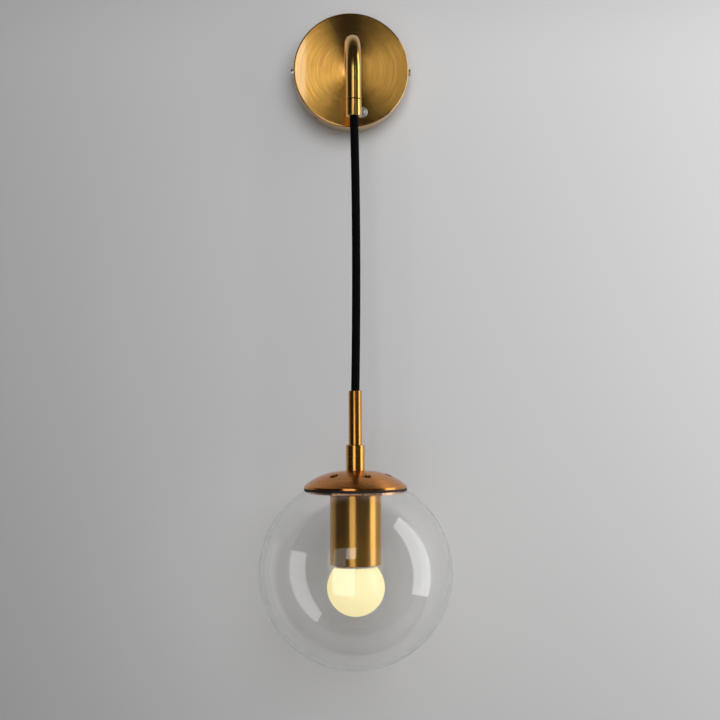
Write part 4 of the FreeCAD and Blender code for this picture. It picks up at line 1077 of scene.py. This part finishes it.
# ------------------------------------------------------------------ canopy
@dataclass
class Canopy(Part):
    """Round brass canopy with its push switch."""

    radius: float = 48.0 * MM
    depth: float = 22.0 * MM
    wall: float = 1.2 * MM
    edge: float = 1.5 * MM  # rounding between the face and the side
    rim: float = 0.25 * MM  # broken edge at the wall
    face_rings: tuple[float, ...] = (0.3, 0.6, 0.97)  # divide the face, as shares of the radius
    switch_at: Vector = field(default_factory=lambda: Vector((9.1 * MM, 0.0, -35.4 * MM)))
    switch_hole: float = 3.7 * MM
    bezel_radius: float = 4.45 * MM
    bezel_height: float = 1.5 * MM
    bezel_bore: float = 2.4 * MM
    bezel_back: float = 3.55 * MM  # radius of its wider bore, behind the lip
    bezel_lip: float = 0.5 * MM
    bezel_chamfer: float = 0.35 * MM
    button_radius: float = 2.1 * MM
    button_proud: float = 1.5 * MM
    button_length: float = 7.0 * MM
    screw_hole: float = 2.2 * MM
    screw_depth: float = 12.0 * MM
    blank_hole: float = 1.8 * MM
    blank_depth: float = 10.0 * MM
    blank_angle: float = 232.0

    def drill_side(
        self, cover: Piece, radius: float, outward: Vector, depth: float, rim: float = 0.0
    ) -> None:
        """Drill a hole through the cover's side.

        Args:
            cover: The cover.
            radius: The hole's radius.
            outward: The way out of the cover, of length 1.
            depth: How far from the wall the hole is.
            rim: Width of the broken edge, or 0 for none.
        """
        start = ROOM * depth + outward * (self.radius - 3 * self.wall)
        drill(cover, radius, start, ROOM * depth + outward * (self.radius + self.wall), rim)

    def build(self) -> None:
        """Build the cover, the bezel and the button."""
        inner_edge = self.edge - self.wall
        face = self.depth
        outline = Outline(NIPPLE_HOLE, face)
        for share in self.face_rings:
            outline.line(self.radius * share, face)
        outline.line(self.radius - self.edge, face)
        outline.arc((self.radius - self.edge, face - self.edge), -90.0, 12)
        outline.line(self.radius, self.rim).line(self.radius - self.rim, 0.0)
        outline.line(self.radius - self.wall, 0.0)
        outline.line(self.radius - self.wall, face - self.wall - inner_edge)
        centre = (self.radius - self.wall - inner_edge, face - self.wall - inner_edge)
        outline.arc(centre, 90.0, 6)
        outline.line(NIPPLE_HOLE, face - self.wall)
        cover = turned("canopy_shell", outline, Axis.WALL, steps=256)
        start = self.switch_at + ROOM * (face - 2 * self.wall)
        drill(cover, self.switch_hole, start, self.switch_at + ROOM * (face + self.wall))
        angle = math.radians(self.blank_angle)
        outward = Vector((math.cos(angle), 0.0, math.sin(angle)))
        self.drill_side(cover, self.blank_hole, outward, self.blank_depth, FINE_RIM)
        for outward in (-RIGHT, RIGHT):
            self.drill_side(cover, self.screw_hole, outward, self.screw_depth)
        smooth(cover)
        self.shop.fit(cover, Finish.CANOPY, "wall_part", "brass", "canopy_cover")
        self.build_switch()

    def build_switch(self) -> None:
        """Build the switch's bezel and button."""
        face = self.depth
        top = face + self.bezel_height
        rounding = self.bezel_height / 3
        bezel = Outline(self.bezel_radius, face).line(self.bezel_radius, top - rounding)
        bezel.arc((self.bezel_radius - rounding, top - rounding), 90.0, 6)
        bezel.line(self.bezel_bore + self.bezel_chamfer, top)
        bezel.line(self.bezel_bore, top - self.bezel_chamfer)
        bezel.line(self.bezel_bore, top - self.bezel_lip)
        bezel.line(self.bezel_back, top - self.bezel_lip).line(self.bezel_back, face)
        ring = turned("switch_bezel_ring", bezel, Axis.WALL, steps=96, at=self.switch_at)
        self.shop.fit(ring, Finish.NICKEL, "wall_part", "nickel", "switch_bezel")
        front = top + self.button_proud
        rounding = self.button_radius / 4
        button = Outline(0.0, front - self.button_length)
        button.line(self.button_radius, front - self.button_length)
        button.line(self.button_radius, front - rounding)
        button.arc((self.button_radius - rounding, front - rounding), 80.0, 6)
        button.line(0.0, front)
        knob = turned("switch_push_button", button, Axis.WALL, steps=64, at=self.switch_at)
        self.shop.fit(knob, Finish.NICKEL, "button", "nickel", "switch_button")


# ------------------------------------------------------------------ arm
@dataclass
class SwanNeckArm(Part):
    """Bent tube from the canopy, with the ferrule at its end."""

    radius: float = 6.0 * MM
    wall: float = 1.0 * MM
    rise: float = 12.2 * MM
    stub: float = 7.4 * MM
    over_share: float = 0.462  # of the run from the stub to the drop axis
    face: float = 22.0 * MM
    end: float = -39.5 * MM
    chamfer: float = 0.1 * MM
    seam: float = 0.7 * MM  # open line between the tube and its ferrule
    mouth: float = -52.2 * MM
    bore: float = 4.6 * MM
    bore_depth: float = 10.7 * MM
    bore_chamfer: float = 0.3 * MM
    throat: float = 4.0 * MM  # radius of the narrower bore above
    spigot_radius: float = 4.95 * MM
    spigot_length: float = 6.0 * MM
    rounding: float = 0.5 * MM
    screw_hole: float = 1.55 * MM
    screw_height: float = 7.7 * MM  # over the mouth
    screw_path: tuple[float, float] = (4.2 * MM, 7.0 * MM)  # from the drop axis to the back
    screw_rim: float = 0.1 * MM
    around: int = 72
    bend_steps: int = 40

    def centre_line(self) -> list[tuple[Vector, Vector]]:
        """Find the tube's line from the sizes of its two bends.

        Returns:
            Places and directions along the tube, from the canopy to its end.
        """
        run = REACH - self.face - self.stub
        over = self.over_share * run  # radius of the bend that goes over to the drop axis
        angle = 2 * math.atan(self.rise / (run - over))
        rising = (run - over) / math.sin(angle) - over  # radius of the bend that rises
        places = [(Vector((0.0, -self.face, 0.0)), ROOM.copy())]
        low = Vector((0.0, -self.face - self.stub, rising))
        for i in range(self.bend_steps + 1):
            turn = angle * i / self.bend_steps
            spoke = Vector((0.0, -math.sin(turn), -math.cos(turn)))
            places.append((low + spoke * rising, Vector((0.0, -math.cos(turn), math.sin(turn)))))
        centre = Vector((0.0, over - REACH, self.rise - over))
        for i in range(1, 2 * self.bend_steps + 1):
            turn = angle - (angle + math.pi / 2) * i / (2 * self.bend_steps)
            spoke = Vector((0.0, math.sin(turn), math.cos(turn)))
            places.append((centre + spoke * over, Vector((0.0, -math.cos(turn), math.sin(turn)))))
        places.append((Vector((0.0, -REACH, self.end + self.seam + self.chamfer)), -UP))
        return places

    def build(self) -> None:
        """Build the tube and its ferrule."""
        places = self.centre_line()
        end = Vector((0.0, -REACH, self.end + self.seam))
        inner = self.radius - self.wall
        rings = [(spot, direction, self.radius) for spot, direction in places]
        rings += [(end, -UP, self.radius - self.chamfer), (end, -UP, inner)]
        rings += [(spot, direction, inner) for spot, direction in reversed(places)]
        tube = self.loft("arm_neck", rings)
        self.shop.fit(tube, Finish.ARM, "wall_part", "brass", "arm_tube")
        self.build_ferrule()

    def loft(self, name: str, rings: list[tuple[Vector, Vector, float]]) -> Piece:
        """Skin a row of rings in the plane of the arm, with the last joined to the first.

        Args:
            name: The new object's name.
            rings: Centre, direction and radius of each ring.

        Returns:
            The closed tube.
        """
        clear_selection()
        bpy.ops.mesh.primitive_circle_add(vertices=self.around, radius=self.radius)
        piece = bpy.context.object
        piece.name = piece.data.name = name
        mesh = bmesh.new()
        uv = mesh.loops.layers.uv.new(TURNING)
        travelled = [0.0]
        for (a, _, ra), (b, _, rb) in zip(rings, rings[1:]):
            travelled.append(travelled[-1] + (b - a).length + abs(rb - ra))
        travelled.append(travelled[-1] + self.wall)
        loops = []
        for spot, direction, radius in rings:
            radii = [radius] * self.around
            loops.append(add_ring(mesh, spot, RIGHT, direction.cross(RIGHT), radii))
        for i, lower in enumerate(loops):
            low, high = travelled[i], travelled[i + 1]
            for j, face in enumerate(bridge(mesh, lower, loops[(i + 1) % len(loops)])):
                spots = ((j, low), (j + 1, low), (j + 1, high), (j, high))
                for loop, (step, along) in zip(face.loops, spots):
                    loop[uv].uv = (step / self.around, along)
        bmesh.ops.recalc_face_normals(mesh, faces=mesh.faces)
        mesh.to_mesh(piece.data)
        mesh.free()
        smooth(piece)
        return piece

    def build_ferrule(self) -> None:
        """Build the ferrule at the arm's end, near black as painted shade where its spigot goes into
        the tube.
        """
        top, low = self.end + self.spigot_length, self.mouth
        outline = Outline(self.throat, top).line(self.spigot_radius, top)
        outline.line(self.spigot_radius, self.end).line(self.radius - self.chamfer, self.end)
        outline.line(self.radius, self.end - self.chamfer).line(self.radius, low + self.rounding)
        outline.arc((self.radius - self.rounding, low + self.rounding), -90.0, 6)
        outline.line(self.bore + self.bore_chamfer, low).line(self.bore, low + self.bore_chamfer)
        outline.line(self.bore, low + self.bore_depth).line(self.throat, low + self.bore_depth)
        ferrule = turned("arm_end_ferrule", outline, Axis.DROP, steps=96)
        level = DROP + UP * (low + self.screw_height)
        start, end = (level - ROOM * distance for distance in self.screw_path)
        drill(ferrule, self.screw_hole, start, end, self.screw_rim)
        smooth(ferrule)
        self.shop.fit(ferrule, Finish.ARM, "wall_part", "brass", "arm_ferrule")
        # the spigot, which shows through the seam, is painted near black as the seam's shade
        ferrule.data.materials.append(self.shop.material(Finish.THREAD))
        for face in ferrule.data.polygons:
            face.material_index = int(face.center.z > self.end - self.chamfer / 4)


# ------------------------------------------------------------------ drop: stem, coupling, cap, cup
@dataclass
class Drop(Part):
    """Stem, coupling, cap and cup, all turned about the drop axis."""

    stem_radius: float = 5.1 * MM
    stem_bore: float = 3.65 * MM
    stem_top: float = -267.1 * MM
    stem_rounding: float = 0.5 * MM
    stem_chamfer: float = 0.25 * MM
    stem_inside: float = 8.0 * MM  # length of the stem in the coupling
    stem_play: float = 0.05 * MM
    coupling_radius: float = 7.3 * MM
    coupling_top: float = -309.1 * MM
    coupling_chamfer: float = 0.5 * MM
    thread_radius: float = 5.0 * MM
    thread_depth: float = 9.0 * MM
    cap_top: float = -329.6 * MM
    cap_height: float = 13.2 * MM
    cap_radius: float = 40.0 * MM
    cap_wall: float = 1.0 * MM
    cap_rim: float = 0.25 * MM
    plateau: float = 10.0 * MM
    shoulder: float = 45.0 * MM
    vents: int = 6
    vent_radius: float = 3.25 * MM
    vent_circle: float = 25.5 * MM
    vent_angle: float = 12.0
    plate_drop: float = 3.0 * MM
    plate_thickness: float = 1.5 * MM
    cup_radius: float = 20.0 * MM
    cup_length: float = 54.6 * MM
    cup_wall: float = 1.0 * MM
    cup_edge: float = 1.6 * MM
    cup_lip: float = 0.3 * MM

    def build(self) -> None:
        """Build every turned piece of the drop."""
        self.build_stem()
        self.build_coupling()
        self.build_cap()
        self.build_cup()

    def build_stem(self) -> None:
        """Build the slim tube that the cord goes into."""
        low, top, rounding = self.coupling_top - self.stem_inside, self.stem_top, self.stem_rounding
        outline = Outline(self.stem_bore, low).line(self.stem_radius, low)
        outline.line(self.stem_radius, top - rounding)
        outline.arc((self.stem_radius - rounding, top - rounding), 90.0, 6)
        outline.line(self.stem_bore + self.stem_chamfer, top)
        outline.line(self.stem_bore, top - self.stem_chamfer)
        stem = turned("stem_pipe", outline, Axis.DROP, steps=96)
        self.shop.fit(stem, Finish.STEM, "pendant", "copper_brass", "stem_tube")

    def build_coupling(self) -> None:
        """Build the sleeve between the stem and the cap."""
        chamfer, radius = self.coupling_chamfer, self.coupling_radius
        low, top = self.cap_top, self.coupling_top
        floor = top - self.stem_inside
        outline = Outline(self.thread_radius, low).line(radius - chamfer, low)
        outline.line(radius, low + chamfer).line(radius, top - chamfer).line(radius - chamfer, top)
        socket = self.stem_radius + self.stem_play
        outline.line(socket, top).line(socket, floor)
        outline.line(self.stem_bore, floor).line(self.stem_bore, low + self.thread_depth)
        outline.line(self.thread_radius, low + self.thread_depth)
        coupling = turned("coupling_sleeve", outline, Axis.DROP, steps=96)
        self.shop.fit(coupling, Finish.DROP, "pendant", "copper_brass", "stem_coupling")

    def build_cap(self) -> None:
        """Build the spun cap with its vent holes."""
        rim = self.cap_top - self.cap_height
        inside = self.cap_radius - self.cap_wall
        centre = (self.plateau, self.cap_top - self.shoulder)
        outer_end = math.degrees(math.acos((self.cap_radius - self.plateau) / self.shoulder))
        inner_shoulder = self.shoulder - self.cap_wall
        inner_end = math.degrees(math.acos((inside - self.plateau) / inner_shoulder))
        outline = Outline(NIPPLE_HOLE, self.cap_top).line(self.plateau, self.cap_top)
        outline.arc(centre, outer_end - 90.0, 40)
        outline.line(self.cap_radius, rim + self.cap_rim).line(self.cap_radius - self.cap_rim, rim)
        outline.line(inside, rim)
        outline.line(inside, centre[1] + inner_shoulder * math.sin(math.radians(inner_end)))
        outline.arc(centre, 90.0 - inner_end, 24)
        outline.line(NIPPLE_HOLE, self.cap_top - self.cap_wall)
        cap = turned("spun_cap", outline, Axis.DROP, steps=240)
        for i in range(self.vents):
            angle = math.radians(self.vent_angle + 360.0 * i / self.vents)
            spot = Vector((math.cos(angle), -math.sin(angle), 0.0)) * self.vent_circle + DROP
            drill(cap, self.vent_radius, spot + UP * rim, spot + UP * self.cap_top, FINE_RIM)
        smooth(cap)
        self.shop.fit(cap, Finish.CAP, "pendant", "copper_brass", "dome_cap")

    def build_cup(self) -> None:
        """Build the drawn cup over the lamp holder."""
        top = self.cap_top - self.cap_height - self.plate_drop - self.plate_thickness
        low = top - self.cup_length
        edge, lip = self.cup_edge, self.cup_lip
        outline = Outline(NIPPLE_HOLE, top).line(self.cup_radius - edge, top)
        outline.arc((self.cup_radius - edge, top - edge), -90.0, 10)
        outline.line(self.cup_radius, low + lip)
        outline.arc((self.cup_radius - lip, low + lip), -90.0, 4)
        inside = self.cup_radius - self.cup_wall
        outline.line(inside + lip, low).arc((inside + lip, low + lip), -90.0, 4)
        outline.line(inside, top - edge).arc((inside - edge + self.cup_wall, top - edge), 90.0, 8)
        outline.line(NIPPLE_HOLE, top - self.cup_wall)
        cup = turned("drawn_cup", outline, Axis.DROP, steps=160)
        self.shop.fit(cup, Finish.CUP, "pendant", "copper_brass", "socket_cup")


# ------------------------------------------------------------------ globe and bulb
@dataclass
class Globe(Part):
    """Clear blown globe with a round opening at its top."""

    radius: float = 75.0 * MM
    wall: float = 2.2 * MM
    opening: float = 34.0 * MM
    cap_radius: float = 40.0 * MM
    seat: float = -344.5 * MM  # height where the ball meets the cap's rim
    steps: int = 96

    def build(self) -> None:
        """Build the globe."""
        centre = self.seat - math.sqrt(self.radius**2 - self.cap_radius**2)
        middle = self.radius - self.wall / 2
        edge = math.acos((self.opening + self.wall / 2) / middle)
        turn = 90.0 + math.degrees(edge)
        outline = Outline(0.0, centre - self.radius).arc((0.0, centre), turn, self.steps)
        outline.arc((middle * math.cos(edge), centre + middle * math.sin(edge)), 180.0, 10)
        outline.arc((0.0, centre), -turn, self.steps)
        globe = turned("clear_globe", outline, Axis.DROP, steps=192)
        smooth(globe, BALL_ANGLE)
        self.shop.fit(globe, Finish.GLASS, "pendant", "clear_glass", "glass_globe")


@dataclass
class Bulb(Part):
    """Opal ball of the bulb, which narrows to a straight neck in the cup."""

    radius: float = 22.4 * MM
    wall: float = 1.2 * MM
    bottom: float = -442.1 * MM
    neck_from: float = 19.0 * MM  # radius where the ball becomes the neck
    length: float = 38.5 * MM

    def build(self) -> None:
        """Build the diffuser."""
        centre = self.bottom + self.radius
        lean = math.acos(self.neck_from / self.radius)
        turn = 90.0 + math.degrees(lean)
        top = self.bottom + self.length
        neck_low = centre + self.radius * math.sin(lean)
        end = self.neck_from - (top - neck_low) * math.tan(lean)
        inner = self.radius - self.wall
        outline = Outline(0.0, self.bottom).arc((0.0, centre), turn, 72)
        outline.line(end, top).line(end - self.wall / math.cos(lean), top)
        outline.line(inner * math.cos(lean), centre + inner * math.sin(lean))
        outline.arc((0.0, centre), -turn, 48)
        diffuser = turned("opal_ball", outline, Axis.DROP, steps=128)
        smooth(diffuser, BALL_ANGLE)
        self.shop.fit(diffuser, Finish.OPAL, "bulb", "opal", "bulb_diffuser")


# ------------------------------------------------------------------ the whole scene
KEPT_NODES = {
    Finish.ZINC: [
        "mounting_bracket",
        "earth_screw",
        "terminal_screws",
        "block_screws",
        "arm_nipple",
        "arm_lock_washer",
        "arm_lock_nut",
        "drop_nipple",
        "holder_nut",
    ],
    Finish.NICKEL: ["canopy_side_screws", "ferrule_grub_screw", "bulb_base", "bulb_tip_contact"],
    Finish.WHITE: ["terminal_block", "bulb_collar"],
    Finish.BLACK: ["switch_body", "lamp_holder_body", "bulb_insulator"],
    Finish.NYLON: ["cord_grip", "stem_cord_grip"],
    Finish.SLEEVE: ["arm_cord"],
    Finish.BLUE: ["wire_neutral"],
    Finish.BROWN: ["wire_live_lamp", "wire_live_supply", "lamp_leads"],
    Finish.EARTH: ["wire_earth"],
    Finish.RUBBER: ["upper_gasket", "lower_gasket"],
    Finish.COPPER: ["earth_eyelet", "lamp_holder_shell", "centre_contact", "retaining_plate"],
    Finish.ALUMINIUM: ["led_board"],
    Finish.SOLDER_MASK: ["driver_board"],
}


def main() -> None:
    """Build the sconce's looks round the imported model."""
    logging.basicConfig(level=logging.INFO, format="%(name)s: %(message)s")
    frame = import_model()
    scene = bpy.context.scene
    scene.view_settings.view_transform = "Standard"
    studio = Studio()
    studio.make_camera()
    shop = Workshop(frame)
    HangingCord(shop).build()
    Canopy(shop).build()
    SwanNeckArm(shop).build()
    Drop(shop).build()
    Globe(shop).build()
    Bulb(shop).build()
    shop.dress_nodes(KEPT_NODES)
    studio.make()


if __name__ == "__main__":
    main()
